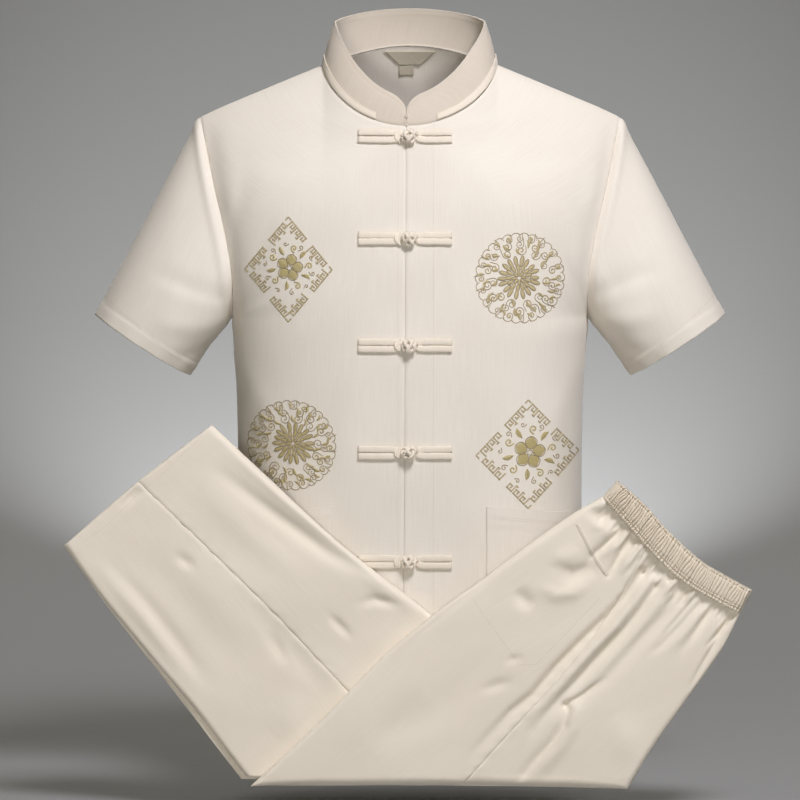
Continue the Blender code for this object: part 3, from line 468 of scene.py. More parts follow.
def dome(x, z):
    """Share of the full depth that the body has at this distance under the shoulder ridge."""
    from_middle = np.where(np.abs(x) < MIDDLE_SOFT, (x ** 2 + MIDDLE_SOFT ** 2) / (2 * MIDDLE_SOFT), np.abs(x))
    inside = NECK_RIDGE * (1 - from_middle / NECK_HALF)
    outside = SHOULDER_TIP_Z * (np.abs(x) - NECK_HALF) / (SHOULDER_TIP_X - NECK_HALF)
    ridge = np.where(np.abs(x) < NECK_HALF, inside, outside)
    below = np.clip((ridge - z) / DOME_HEIGHT, 0.0, 1.0)
    return np.sqrt(1 - (1 - below) ** 2)


def armhole_share(z):
    """Depth of the armhole seam as a share of the body's depth at that height."""
    rise = min(max((z - ARMPIT_Z) / ARMHOLE_ROUND, 0.0), 1.0)
    return ARMHOLE_FULLNESS * math.sqrt(1 - (1 - rise) ** 2)


def inner_border(side, face, row):
    """Start of a row: the centre line, then the neckline."""
    neck_z = -NECK_FRONT_DROP if face == "front" else NECK_BACK_RISE
    centre_rows = ARMHOLE_ROWS - NECK_ROWS[face]
    up = row - BODY_ROWS
    if up <= 0:
        height = HEM_Z + (ARMPIT_Z - HEM_Z) * row / BODY_ROWS
    elif up <= centre_rows:
        height = ARMPIT_Z + (neck_z - ARMPIT_Z) * up / centre_rows
    else:
        turn = math.pi / 2 * (up - centre_rows) / NECK_ROWS[face]
        power = 1.2 if face == "front" else 2.5
        height = neck_z * max(math.cos(turn), 0.0) ** power
        middle = centre_front_x(height) if face == "front" else 0.0
        return middle + (side * NECK_HALF - middle) * math.sin(turn), height
    return (centre_front_x(height) if face == "front" else 0.0), height


def outer_border(row):
    """End of a row: the side seam, then the armhole."""
    up = row - BODY_ROWS
    if up <= 0:
        height = HEM_Z + (ARMPIT_Z - HEM_Z) * row / BODY_ROWS
        return smooth_value(BODY_SECTIONS, "half_width", height), height, 0.0
    turn = math.pi * (1 - up / ARMHOLE_ROWS)
    height = (ARMPIT_Z + SHOULDER_TIP_Z) / 2 + (SHOULDER_TIP_Z - ARMPIT_Z) / 2 * math.cos(turn)
    return smooth_value(ARMHOLE_SEAM, "reach", height), height, armhole_share(height)


EDGE_STEPS = [0.0, 0.8 * MM, 1.8 * MM, 3.2 * MM, 5.5 * MM]
MIDDLE_COLUMNS = 50


def edge_spaced(length, middle=MIDDLE_COLUMNS):
    """Distances across a width, close together near both edges, where the cloth dips into its seam."""
    first, last = EDGE_STEPS[-1], length - EDGE_STEPS[-1]
    inner = np.linspace(first, last, middle + 1)
    return np.concatenate([EDGE_STEPS[:-1], inner, length - np.array(EDGE_STEPS[:-1][::-1])])


def body_half(side, face):
    """Half of the front or back: rows from the hem up, each from the centre line out to the side."""
    way = -1 if face == "front" else 1
    power = 2 / ROUNDNESS
    rows = []
    for row in np.arange(0, (BODY_ROWS + ARMHOLE_ROWS) * FINE + 1) / FINE:
        x_in, z_in = inner_border(side, face, row)
        reach, z_out, share = outer_border(row)
        end = math.acos(share ** (1 / power))
        width = reach / math.sin(end) ** power
        first = side * x_in / width
        begin = math.copysign(math.asin(abs(first) ** (1 / power)), first)
        turn = np.linspace(begin, end, 241)
        x = side * width * np.sign(turn) * np.abs(np.sin(turn)) ** power
        x[-1] = side * reach
        z = z_in + (z_out - z_in) * (x - x_in) / (side * reach - x_in)
        depth = np.interp(z, LEVELS, DEPTHS[face]) * np.maximum(np.cos(turn), 0.0) ** power
        if share == 0.0:
            depth[-1] = 0.0
        line = np.stack([x, way * depth * dome(x, z), z], axis=1)
        run = np.concatenate([[0.0], np.cumsum(np.linalg.norm(np.diff(line, axis=0), axis=1))])
        at = edge_spaced(run[-1])
        rows.append(np.stack([np.interp(at, run, line[:, c]) for c in range(3)], axis=1))
    return np.array(rows)


halves = {(side, face): body_half(side, face) for side in (-1, 1) for face in ("front", "back")}
print("body grid", halves[(1, "front")].shape)

# %% [markdown]
# A worn jacket is never quite smooth. Soft folds run from the armpits towards the chest, the sides hang in
# slow waves, and every seam sits in a shallow groove, because the layers of the seam allowance pull the
# cloth in along the stitching. All of this is added along the surface's own normals.

# %% Jacket folds and seam grooves
FRONT_FOLDS = [
    Fold([(-206, -270), (-170, -215), (-150, -170)], 9, -1.7, 0.2, (0.9, 0.1)),
    Fold([(-200, -290), (-150, -262), (-112, -246)], 10, 1.3, 0.2, (0.8, 0.1)),
    Fold([(-212, -225), (-190, -150), (-186, -110)], 11, -2.0, 0.2, (0.5, 0.2)),
    Fold([(-196, -330), (-160, -385), (-150, -470)], 13, 1.5, 0.0, (0.6, 0.1)),
    Fold([(-120, -500), (-112, -600), (-118, -716)], 17, 1.8, 0.0, (0.1, 0.9)),
    Fold([(-66, -560), (-58, -640), (-62, -716)], 15, -1.5, 0.0, (0.1, 0.9)),
    Fold([(204, -272), (172, -222), (156, -180)], 9, -1.7, -0.2, (0.9, 0.1)),
    Fold([(198, -292), (152, -300), (112, -292)], 11, 1.4, -0.2, (0.9, 0.1)),
    Fold([(212, -222), (192, -150), (196, -110)], 11, -1.8, -0.2, (0.5, 0.2)),
    Fold([(188, -340), (156, -410), (160, -490)], 13, 1.4, 0.0, (0.6, 0.1)),
    Fold([(66, -330), (58, -450), (64, -560)], 20, 0.9, 0.0, (0.1, 0.3)),
    Fold([(-62, -300), (-72, -420), (-64, -520)], 20, 0.9, 0.0, (0.1, 0.3)),
    Fold([(126, -520), (136, -610), (128, -716)], 16, 1.7, 0.0, (0.1, 0.9)),
    Fold([(70, -600), (62, -660), (68, -716)], 14, -1.4, 0.0, (0.1, 0.9)),
]
BACK_FOLDS = [
    Fold([(-206, -268), (-160, -206), (-124, -176)], 11, -2.0, 0.2, (0.9, 0.1)),
    Fold([(206, -268), (164, -212), (118, -186)], 11, -2.0, -0.2, (0.9, 0.1)),
    Fold([(-198, -300), (-140, -290), (-84, -304)], 12, 1.8, 0.0, (0.9, 0.1)),
    Fold([(198, -296), (146, -282), (96, -292)], 12, 1.8, 0.0, (0.9, 0.1)),
    Fold([(-128, -90), (-40, -112), (46, -104), (132, -88)], 13, 1.4, 0.0, (0.2, 0.2)),
    Fold([(-60, -330), (-74, -480), (-62, -716)], 22, 2.2, 0.0, (0.1, 0.8)),
    Fold([(40, -300), (56, -470), (50, -716)], 24, 2.0, 0.0, (0.1, 0.8)),
    Fold([(-138, -430), (-132, -560), (-140, -716)], 20, -2.0, 0.0, (0.1, 0.9)),
    Fold([(136, -410), (124, -560), (132, -716)], 20, -1.9, 0.0, (0.1, 0.9)),
    Fold([(-6, -360), (4, -500), (-8, -640)], 16, -1.3, 0.0, (0.1, 0.3)),
]
GROOVE_DEPTH = 0.8 * MM
GROOVE_WIDTH = 1.7 * MM


def edge_distance(points, axis, end):
    """Distance of every point from one border of its grid, along the grid."""
    run = steps_along(points, axis)
    return run if end == "first" else np.take(run, [-1], axis=axis) - run


def trimmed(points, borders):
    """Move the named borders of a grid in by half a seam gap."""
    out = points.copy()
    for axis, end in borders:
        edge, inner = (0, 1) if end == "first" else (-1, -2)
        take = (lambda i: (i, slice(None))) if axis == 0 else (lambda i: (slice(None), i))
        step = out[take(inner)] - out[take(edge)]
        length = np.maximum(np.linalg.norm(step, axis=1, keepdims=True), 1e-9)
        out[take(edge)] += step / length * np.minimum(SHOWN_GAP / 2, length * 0.45)
    return out


def grooved(points, normals, borders, depth=GROOVE_DEPTH):
    """Dip a grid into its seams along the named borders."""
    dip = np.zeros(points.shape[:2])
    for axis, end in borders:
        dip = np.maximum(dip, np.exp(-(edge_distance(points, axis, end) / GROOVE_WIDTH) ** 2))
    return points - normals * (depth * dip)[..., None]


def outward(points, normals, centre):
    """Turn normals away from a centre point."""
    away = ((points - np.array(centre)) * normals).sum(axis=2).mean()
    return normals if away > 0 else -normals


BODY_CENTRE = (0.0, 0.0, -0.35)
ARMHOLE_SINK = 4.4 * MM
ARMHOLE_SINK_WIDTH = 17.0 * MM


def dressed_half(side, face):
    """Half of the body with its folds and seam grooves."""
    points = halves[(side, face)]
    normals = outward(points, grid_normals(points), BODY_CENTRE)
    table = FRONT_FOLDS if face == "front" else BACK_FOLDS
    rise = relief(table, points[..., 0], points[..., 2])
    hang = np.clip((-0.30 - points[..., 2]) / 0.25, 0.0, 1.0)
    wave = np.sin(points[..., 0] / 0.031 + 2.0 * np.sin(points[..., 2] / 0.19)) * 0.0006 * hang
    borders = [(1, "last"), (0, "last")] + ([(1, "first")] if face == "front" else [])
    calm = np.ones_like(rise)
    for axis, end in borders:
        calm = np.minimum(calm, np.clip(edge_distance(points, axis, end) / (14 * MM), 0.0, 1.0))
    to_side = edge_distance(points, 1, "last")
    above = np.clip((points[:, -1:, 2] - ARMPIT_Z) / (50 * MM), 0.0, 1.0)
    below_tip = np.clip((SHOULDER_TIP_Z - points[:, -1:, 2]) / (30 * MM), 0.25, 1.0)
    sink = ARMHOLE_SINK * np.exp(-(to_side / ARMHOLE_SINK_WIDTH) ** 2) * above * below_tip
    points = points + normals * ((rise + wave) * calm - sink)[..., None]
    return grooved(points, normals, borders)


dressed = {key: dressed_half(*key) for key in halves}
for side in (-1, 1):
    front, back = dressed[(side, "front")], dressed[(side, "back")]
    seam_rows = BODY_ROWS * FINE + 1
    middle = (front[:seam_rows, -1] + back[:seam_rows, -1]) / 2
    front[:seam_rows, -1] = back[:seam_rows, -1] = middle
    middle = (front[-1] + back[-1]) / 2
    front[-1] = back[-1] = middle

# %% [markdown]
# A sleeve is a tube that starts on the armhole and ends in a flat oval cuff. Its cap stands a little proud
# of the seam, soft folds run from the armpit down the underarm, and the hem is turned up 16 mm.

# %% Sleeve surface
CUFF_OUTER = (358.0 * MM, -283.0 * MM)
CUFF_INNER = (250.5 * MM, -352.5 * MM)
CUFF_HALF_DEPTH = 62.0 * MM
CUFF_Y = -4.0 * MM
SLEEVE_SWELL = 0.12
SLEEVE_SHARES = np.concatenate([[0.0, 0.004, 0.010, 0.018, 0.03], np.linspace(0.045, 0.9, 52),
                                [0.915, 0.924, 0.93, 0.94, 0.955, 0.975, 0.992, 1.0]])
SLEEVE_HEM = 16.0 * MM
CAP_RISE = 2.0 * MM


def armhole_of(grids, side):
    """The armhole's points, from the shoulder down the front and up the back."""
    first = BODY_ROWS * FINE
    front, back = grids[(side, "front")], grids[(side, "back")]
    return np.concatenate([front[first:, -1][::-1], back[first + 1:-1, -1]])


def sleeve_grid(side):
    """Rings of a sleeve from the armhole to the cuff."""
    armhole = armhole_of(halves, side)
    outer = np.array([side * CUFF_OUTER[0], CUFF_Y, CUFF_OUTER[1]])
    inner = np.array([side * CUFF_INNER[0], CUFF_Y, CUFF_INNER[1]])
    turn = 2 * np.pi * np.arange(len(armhole)) / len(armhole)
    cuff = (outer + inner) / 2 + (outer - inner) / 2 * np.cos(turn)[:, None]
    cuff[:, 1] -= CUFF_HALF_DEPTH * np.sin(turn)
    rings = []
    for t in SLEEVE_SHARES:
        ring = armhole * (1 - t) + cuff * t
        ring[:, 1] *= 1 + SLEEVE_SWELL * np.sin(np.pi * t)
        rings.append(ring)
    return np.array(rings)


# %% Sleeve folds
SLEEVE_FOLDS = {
    -1: [
        Fold([(-215, -262), (-252, -250), (-296, -232)], 10, -1.9, 0.2, (0.9, 0.1)),
        Fold([(-212, -290), (-246, -296), (-290, -290)], 11, 1.7, 0.0, (0.9, 0.1)),
        Fold([(-238, -80), (-262, -150), (-276, -220)], 16, 1.0, 0.0, (0.2, 0.1)),
        Fold([(-226, -320), (-252, -330), (-276, -338)], 8, -1.4, 0.0, (0.8, 0.1)),
    ],
    1: [
        Fold([(214, -258), (250, -240), (288, -230)], 10, -2.0, -0.2, (0.9, 0.1)),
        Fold([(210, -288), (244, -288), (286, -278)], 11, 1.8, 0.0, (0.9, 0.1)),
        Fold([(242, -84), (268, -150), (296, -214)], 16, 1.0, 0.0, (0.2, 0.1)),
        Fold([(228, -318), (250, -322), (272, -330)], 8, -1.4, 0.0, (0.8, 0.1)),
    ],
}


def dressed_sleeve(side):
    """A sleeve's rings with cap, folds, seam groove and hem."""
    points = sleeve_grid(side)
    ring_count = points.shape[1]
    looped = np.concatenate([points[:, -1:], points, points[:, :1]], axis=1)
    normals = grid_normals(looped)[:, 1:-1]
    if ((points - points.mean(axis=1, keepdims=True)) * normals).sum() < 0:
        normals = -normals
    run = steps_along(points, 0)
    to_cuff = run[-1][None, :] - run
    rise = relief(SLEEVE_FOLDS[side], points[..., 0], points[..., 2])
    rise *= np.clip(run / (12 * MM), 0.0, 1.0) * np.clip(to_cuff / (24 * MM), 0.0, 1.0)
    height = np.clip((points[:1, :, 2] - ARMPIT_Z) / (50 * MM), 0.0, 1.0)
    cap = CAP_RISE * np.exp(-((run - 9 * MM) / (8 * MM)) ** 2) * (1 - np.exp(-run / (3 * MM))) * height
    hem = 0.55 * MM * (1 / (1 + np.exp((to_cuff - SLEEVE_HEM) / (0.7 * MM))))
    stitch_line = 0.35 * MM * np.exp(-((to_cuff - SLEEVE_HEM - 0.6 * MM) / (1.1 * MM)) ** 2)
    angle = 2 * np.pi * np.arange(ring_count) / ring_count
    ripple = 0.5 * MM * np.sin(11 * angle + side)[None, :] * np.exp(-to_cuff / (14 * MM))
    out = points + normals * (rise + cap + hem - stitch_line + ripple)[..., None]
    sunk = armhole_of(dressed, side) - points[0]
    out += sunk[None, :, :] * np.exp(-(run / (3.6 * MM)) ** 2)[..., None]
    out[0] = armhole_of(dressed, side)
    return out


sleeve_points = {side: trimmed(dressed_sleeve(side), [(0, "first")]) for side in (-1, 1)}
print("sleeve rings", sleeve_points[1].shape)

# %% [markdown]
# The fronts meet edge to edge, so each is a grid of its own. The back is one panel: its two halves are
# welded along the centre line and part again at the neckline.

# %% Fronts, back and sleeves
SIDE_NAMES = {-1: "right", 1: "left"}
EDGES = [(1, "first"), (1, "last"), (0, "last")]
front_grids = {side: trimmed(dressed[(side, "front")], EDGES) for side in (-1, 1)}
back_grids = [trimmed(dressed[(side, "back")], EDGES[1:]) for side in (-1, 1)]


def welded_piece(name, grids, material):
    """Two mirrored grids as one sheet, welded where their first columns meet."""
    verts, faces, uvs = [], [], []
    for side, grid in zip((-1, 1), grids):
        first = len(verts)
        rows, columns = grid.shape[:2]
        verts += [tuple(p) for p in grid.reshape(-1, 3)]
        uvs += list(np.stack([side * steps_along(grid, 1), steps_along(grid, 0)], axis=2).reshape(-1, 2))
        faces += [tuple(first + i for i in quad) for quad in grid_faces(rows, columns, False, side > 0)]
    piece = mesh_object(name, verts, faces, uvs, material)
    bm = bmesh.new()
    bm.from_mesh(piece.data)
    bmesh.ops.remove_doubles(bm, verts=bm.verts, dist=0.01 * MM)
    bm.to_mesh(piece.data)
    bm.free()
    wall = piece.modifiers.new("thickness", "SOLIDIFY")
    wall.thickness = CLOTH
    wall.offset = -1.0
    return piece


front_pieces = {}
for side in (-1, 1):
    name = f"jacket_front_{SIDE_NAMES[side]}"
    piece = cloth_piece(f"{name}_cloth", front_grids[side], JACKET_CLOTH, flip=side < 0)
    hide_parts(name)
    front_pieces[side] = piece
back_piece = welded_piece("jacket_back_cloth", back_grids, JACKET_CLOTH)
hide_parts("jacket_back")
sleeve_pieces = {}
for side in (-1, 1):
    name = f"sleeve_{SIDE_NAMES[side]}"
    piece = cloth_piece(f"{name}_cloth", sleeve_points[side], JACKET_CLOTH, closed=True)
    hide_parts(name)
    sleeve_pieces[side] = piece
print("body pieces", len(made_pieces))

# %% [markdown]
# A grid's faces must look outwards, or the thickness grows the wrong way. If the faces, weighed by their
# areas, look more towards the piece's centre than away from it, the mesh is turned over.

# %% Check which way the faces look
def face_outwards(piece, centre):
    """Turn a piece's faces if most of them look towards its centre."""
    mesh = piece.data
    centre = Vector(centre)
    away = sum((p.center - centre).dot(p.normal) * p.area for p in mesh.polygons)
    if away < 0:
        mesh.flip_normals()
    return away > 0


for piece in [*front_pieces.values(), back_piece]:
    print(piece.name, face_outwards(piece, BODY_CENTRE))
for side, piece in sleeve_pieces.items():
    print(piece.name, face_outwards(piece, tuple(sleeve_points[side].mean(axis=(0, 1)))))

# %% [markdown]
# The stand collar is two layers with a stiff interlining, so it is thicker than the jacket and its rim is
# round. It is a band between the neckline and a smaller, higher curve, and its front corners are rounded.
# A narrow strip of the same cloth is laid round its foot and stops short of the opening.

# %% Collar path
COLLAR_THICKNESS = 1.8 * MM
COLLAR_LIFT = 0.4 * MM
COLLAR_TOP_HALF = 85.5 * MM
COLLAR_TOP_FRONT_Y = -70.0 * MM
COLLAR_TOP_BACK_Y = 52.0 * MM
COLLAR_TOP_SIDE_Z = 48.5 * MM
COLLAR_TOP_FRONT_Z = -25.0 * MM
COLLAR_TOP_BACK_Z = 63.5 * MM
COLLAR_CORNER = 20.0 * MM
COLLAR_END_SHARE = 0.46
COLLAR_DIP = 0.26
COLLAR_DIP_REACH = 85.0 * MM


def collar_leg(side, face):
    """Foot and top of a quarter of the collar, from the centre to the side."""
    count = NECK_ROWS[face] * FINE
    foot = halves[(side, face)][-(count + 1):, 0]
    turn = np.linspace(0, np.pi / 2, count + 1)
    c = np.maximum(np.cos(turn), 0.0)
    if face == "front":
        middle = centre_front_x(-NECK_FRONT_DROP)
        z = COLLAR_TOP_SIDE_Z + (COLLAR_TOP_FRONT_Z - COLLAR_TOP_SIDE_Z) * c ** 1.6
        top = np.stack([middle + (side * COLLAR_TOP_HALF - middle) * np.sin(turn), COLLAR_TOP_FRONT_Y * c, z], axis=1)
    else:
        z = COLLAR_TOP_SIDE_Z + (COLLAR_TOP_BACK_Z - COLLAR_TOP_SIDE_Z) * c ** 1.5
        top = np.stack([side * COLLAR_TOP_HALF * np.sin(turn), COLLAR_TOP_BACK_Y * c, z], axis=1)
    return np.stack([foot, top], axis=1)


around = np.concatenate([collar_leg(-1, "front"), collar_leg(-1, "back")[-2::-1],
                         collar_leg(1, "back")[1:], collar_leg(1, "front")[-2::-1]])
foot_run = np.concatenate([[0.0], np.cumsum(np.linalg.norm(np.diff(around[:, 0], axis=0), axis=1))])
NEAR_END = np.array([0.0, 0.25, 0.6, 1.1, 1.8, 2.7, 3.8, 5.2, 7.0, 9.0, 11.5, 14.0, 17.0, 20.0, 24.0]) * MM
collar_at = np.concatenate([NEAR_END, np.linspace(NEAR_END[-1], foot_run[-1] - NEAR_END[-1], 150)[1:-1],
                            foot_run[-1] - NEAR_END[::-1]])


def at_run(values):
    """Values along the collar's foot, taken at the chosen distances."""
    return np.stack([np.interp(collar_at, foot_run, values[:, c]) for c in range(3)], axis=1)


collar_foot, collar_top = at_run(around[:, 0]), at_run(around[:, 1])
print("collar foot", round(foot_run[-1] * 1000), "mm round")


# %% Collar and strip
STRIP_TOP = 0.24
STRIP_FOOT = 0.04
STRIP_END_RIGHT_X = -36.0 * MM
STRIP_END_LEFT_X = 28.5 * MM
STRIP_THICKNESS = 1.0 * MM
REST_GAP = 0.4 * MM
COLLAR_ROLL = 1.6 * MM


def collar_point(share):
    """One row of the collar's outer face at a share of its height, its front corners rounded."""
    up = collar_top - collar_foot
    start = collar_foot + up / np.linalg.norm(up, axis=1, keepdims=True) * COLLAR_LIFT
    inset = np.minimum(np.abs(collar_foot[:, 0] - collar_foot[0, 0]), np.abs(collar_foot[:, 0] - collar_foot[-1, 0]))
    bend = np.clip((COLLAR_CORNER - inset) / COLLAR_CORNER, 0.0, 1.0)
    rounding = COLLAR_END_SHARE + (1 - COLLAR_END_SHARE) * np.sqrt(1 - bend ** 2)
    lowering = 1 - COLLAR_DIP * np.clip(1 - inset / COLLAR_DIP_REACH, 0.0, 1.0)
    full = np.where(collar_foot[:, 1] < 0, rounding * lowering, 1.0)
    row = start + (collar_top - start) * (full * share)[:, None]
    out = row - np.array([0.0, 0.0, 1.0]) * row[:, 2:3]
    out /= np.linalg.norm(out, axis=1, keepdims=True)
    return row + out * COLLAR_ROLL * math.sin(math.pi * share)


collar_shares = np.concatenate([[0.0, 0.012, 0.03, 0.06], np.linspace(0.1, 0.92, 24), [0.95, 0.975, 0.99, 1.0]])
collar_grid = np.array([collar_point(s) for s in collar_shares])
collar_grid[:, 0] += np.array([-SEAM_GAP, 0, 0])
collar_grid[:, -1] += np.array([SEAM_GAP, 0, 0])
collar_normals = grid_normals(collar_grid)
if (collar_normals[:, :, :2] * collar_grid[:, :, :2]).sum() < 0:
    collar_normals = -collar_normals
collar_height = np.linalg.norm(collar_top - collar_foot, axis=1).mean()
down_rim = steps_along(collar_grid, 0)[-1][None, :] - steps_along(collar_grid, 0)
rim_stitch = 0.3 * MM * np.exp(-((down_rim - 6 * MM) / (0.9 * MM)) ** 2)
foot_dip = GROOVE_DEPTH * np.exp(-(steps_along(collar_grid, 0) / (1.2 * MM)) ** 2)
collar_grid = collar_grid - collar_normals * (rim_stitch + foot_dip)[..., None]

# The collar's darker cloth colour is painted shade.
collar = cloth_piece("collar_cloth", collar_grid, COLLAR_CLOTH_PAINTED_SHADE, thickness=COLLAR_THICKNESS)
face_outwards(collar, (0, 0, 0.02))
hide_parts("collar")


def rounded(piece, width, segments=2):
    """Round a piece's cut edges."""
    soft = piece.modifiers.new("round", "BEVEL")
    soft.width = width
    soft.segments = segments
    soft.limit_method = "ANGLE"
    soft.angle_limit = math.radians(60)
    return piece


rounded(collar, 0.6 * MM)
on_strip = (collar_foot[:, 1] > 0) | (collar_foot[:, 0] < STRIP_END_RIGHT_X) | (collar_foot[:, 0] > STRIP_END_LEFT_X)
strip_rows = []
for share in np.linspace(STRIP_FOOT, STRIP_TOP, 12):
    row = collar_point(share)
    out = row - np.array([0.0, 0.0, 1.0]) * row[:, 2:3]
    out /= np.linalg.norm(out, axis=1, keepdims=True)
    across = (share - STRIP_FOOT) / (STRIP_TOP - STRIP_FOOT)
    crown = 0.5 * MM * (1 - (2 * across - 1) ** 4) - 0.35 * MM * math.exp(-((min(across, 1 - across) - 0.16) / 0.05) ** 2)
    strip_rows.append((row + out * (REST_GAP + STRIP_THICKNESS + crown))[on_strip])
strip_grid = np.array(strip_rows)
strip = cloth_piece("collar_strip_cloth", strip_grid, TRIM_CLOTH, thickness=STRIP_THICKNESS)
face_outwards(strip, (0, 0, 0.02))
rounded(strip, 0.35 * MM)
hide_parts("collar_strip")
print("collar", round(collar_height * 1000), "mm tall")

# %% [markdown]
# Whatever is sewn onto the fronts is placed in the front view and then dropped straight back onto the
# finished cloth, so it follows every fold. Rays against the cloth's own faces give the place and the slope.

# %% Dropping things onto cloth
def tree_of(*pieces):
    """The faces of finished pieces, thickness included, for rays."""
    graph = bpy.context.evaluated_depsgraph_get()
    verts, faces = [], []
    for piece in pieces:
        mesh = piece.evaluated_get(graph).to_mesh()
        first = len(verts)
        verts += [v.co.copy() for v in mesh.vertices]
        faces += [[first + k for k in p.vertices] for p in mesh.polygons]
    return BVHTree.FromPolygons(verts, faces)


bpy.context.view_layer.update()
fronts_tree = tree_of(front_pieces[-1], front_pieces[1])


def drop_on(tree, x, z, start_y=-1.0):
    """Place and normal where a line to the back first meets the cloth."""
    hit, normal, _, _ = tree.ray_cast(Vector((x, start_y, z)), Vector((0, 1, 0)))
    return (None, None) if hit is None else (np.array(hit), np.array(normal))


def laid_grid(tree, xs, zs, lift, start_y=-1.0):
    """A grid of places in the front view, dropped onto the cloth and lifted along one smooth normal field."""
    rows, columns = xs.shape
    points = np.zeros((rows, columns, 3))
    for i in range(rows):
        for k in range(columns):
            hit, _ = drop_on(tree, float(xs[i, k]), float(zs[i, k]), start_y)
            points[i, k] = hit if hit is not None else points[i, k - 1]
    normals = grid_normals(points)
    toward = -1.0 if start_y < -0.5 else 0.0
    if toward and normals[..., 1].mean() > 0 or not toward and normals[..., 1].mean() > 0:
        normals = -normals
    return points + normals * np.broadcast_to(lift, xs.shape)[..., None], normals


# %% [markdown]
# The patch pockets are single cloth with a wide turned top. They are stitched down close to the side and
# bottom edges, so the edges are pressed flat and the middle stands slightly off the jacket.

# %% Patch pockets
POCKET_TOP_Z = -492.0 * MM
POCKET_SLANT = 0.12
POCKET_INNER_X = 85.0 * MM
POCKET_OUTER_X = 190.0 * MM
POCKET_BOTTOM_Z = -645.0 * MM
POCKET_HEM = 24.0 * MM
PATCH = 1.2 * MM


def pocket_grid(side):
    """The pocket's outer face on its front."""
    reach = smooth_value(BODY_SECTIONS, "half_width", -0.57)
    turns = np.linspace(math.asin((POCKET_INNER_X / reach) ** (ROUNDNESS / 2)),
                        math.asin((POCKET_OUTER_X / reach) ** (ROUNDNESS / 2)), 44)
    across = side * reach * np.sin(turns) ** (2 / ROUNDNESS)
    shares = np.concatenate([[0.0, 0.004, 0.012], np.linspace(0.03, 0.97, 44), [0.988, 0.996, 1.0]])
    xs, shares_grid = np.meshgrid(across, shares)
    top = POCKET_TOP_Z - POCKET_SLANT * (np.abs(xs) - POCKET_INNER_X)
    zs = POCKET_BOTTOM_Z + (top - POCKET_BOTTOM_Z) * shares_grid
    flat, _ = laid_grid(fronts_tree, xs, zs, 0.0)
    to_side = np.minimum(steps_along(flat, 1), steps_along(flat, 1)[:, -1:] - steps_along(flat, 1))
    to_low, to_top = zs - POCKET_BOTTOM_Z, top - zs
    edge = np.minimum(to_side, to_low)
    puff = 0.9 * MM * np.clip(edge / (10 * MM), 0, 1) * np.clip(to_low / (60 * MM), 0, 1)
    hem = 0.45 * MM / (1 + np.exp((to_top - POCKET_HEM) / (0.6 * MM)))
    pressed = -0.3 * MM * np.exp(-((edge - 2.5 * MM) / (0.8 * MM)) ** 2)
    lift = REST_GAP + PATCH + puff + hem + pressed - 0.25 * MM * np.exp(-((to_top - POCKET_HEM) / (0.7 * MM)) ** 2)
    return laid_grid(fronts_tree, xs, zs, lift)[0]


pocket_pieces = {}
for side in (-1, 1):
    name = f"pocket_{SIDE_NAMES[side]}"
    grid = pocket_grid(side)
    pocket_pieces[side] = (cloth_piece(f"{name}_cloth", grid, JACKET_CLOTH, thickness=PATCH), grid)
    face_outwards(pocket_pieces[side][0], BODY_CENTRE)
    rounded(pocket_pieces[side][0], 0.3 * MM)
    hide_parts(name)
print("pockets", round(POCKET_OUTER_X * 1000 - POCKET_INNER_X * 1000), "mm wide in the front view")

# %% [markdown]
# A woven label with slanting sides and a small size tab are sewn inside the back neck. They are bare.

# %% Label and tab
LABEL_THICKNESS = 1.0 * MM
LABEL_TOP = (30.0 * MM, 15.0 * MM)
LABEL_BOTTOM = (11.5 * MM, -1.0 * MM)
TAB_X = (-12.5 * MM, 4.5 * MM)
TAB_Z = (-1.6 * MM, -12.5 * MM)
back_tree = tree_of(back_piece)


def label_grid(left_top, right_top, left_low, right_low, z_top, z_bottom):
    """A bare woven label on the inside of the back, a little curled at its free edges."""
    shares = np.linspace(0, 1, 15)
    left = left_top + (left_low - left_top) * shares
    right = right_top + (right_low - right_top) * shares
    xs = left[:, None] + (right - left)[:, None] * np.linspace(0, 1, 25)[None, :]
    zs = np.repeat((z_top + (z_bottom - z_top) * shares)[:, None], 25, axis=1)
    curl = 0.5 * MM * np.abs(np.linspace(-1, 1, 25)[None, :]) ** 3 + 0.3 * MM * shares[:, None]
    return laid_grid(back_tree, xs, zs, REST_GAP + LABEL_THICKNESS * 0.6 + curl, start_y=0.0)[0]


label_grids = {
    "neck_label": label_grid(-LABEL_TOP[0], LABEL_TOP[0], -LABEL_BOTTOM[0], LABEL_BOTTOM[0], LABEL_TOP[1], LABEL_BOTTOM[1]),
    "size_tab": label_grid(TAB_X[0], TAB_X[1], TAB_X[0], TAB_X[1], TAB_Z[0], TAB_Z[1]),
}
label_pieces = {}
for name, grid in label_grids.items():
    label_pieces[name] = cloth_piece(f"{name}_ribbon", grid, LABEL_CLOTH, thickness=LABEL_THICKNESS * 0.6)
    face_outwards(label_pieces[name], (0, 1.0, 0))
    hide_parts(name)
print("labels", list(label_pieces))

# %% [markdown]
# A frog fastening is made of bias tubes, strips of cloth sewn into a round cord of about 8 mm. Two of them
# lie side by side and are sewn down to the front. On one side they end in a loop, on the other they come
# out of a ball knot. The tubes are swept along a line that was dropped onto the cloth.

# %% Swept tubes
FROG_HEIGHTS = (-80.0 * MM, -193.5 * MM, -312.5 * MM, -432.0 * MM, -554.5 * MM)
FROG_KNOT_X = -1.5 * MM
LOOP_END_X = -58.0 * MM
STEM_END_X = 46.5 * MM
TUBE_HALF = 3.9 * MM
TUBE_RISE = 1.55 * MM


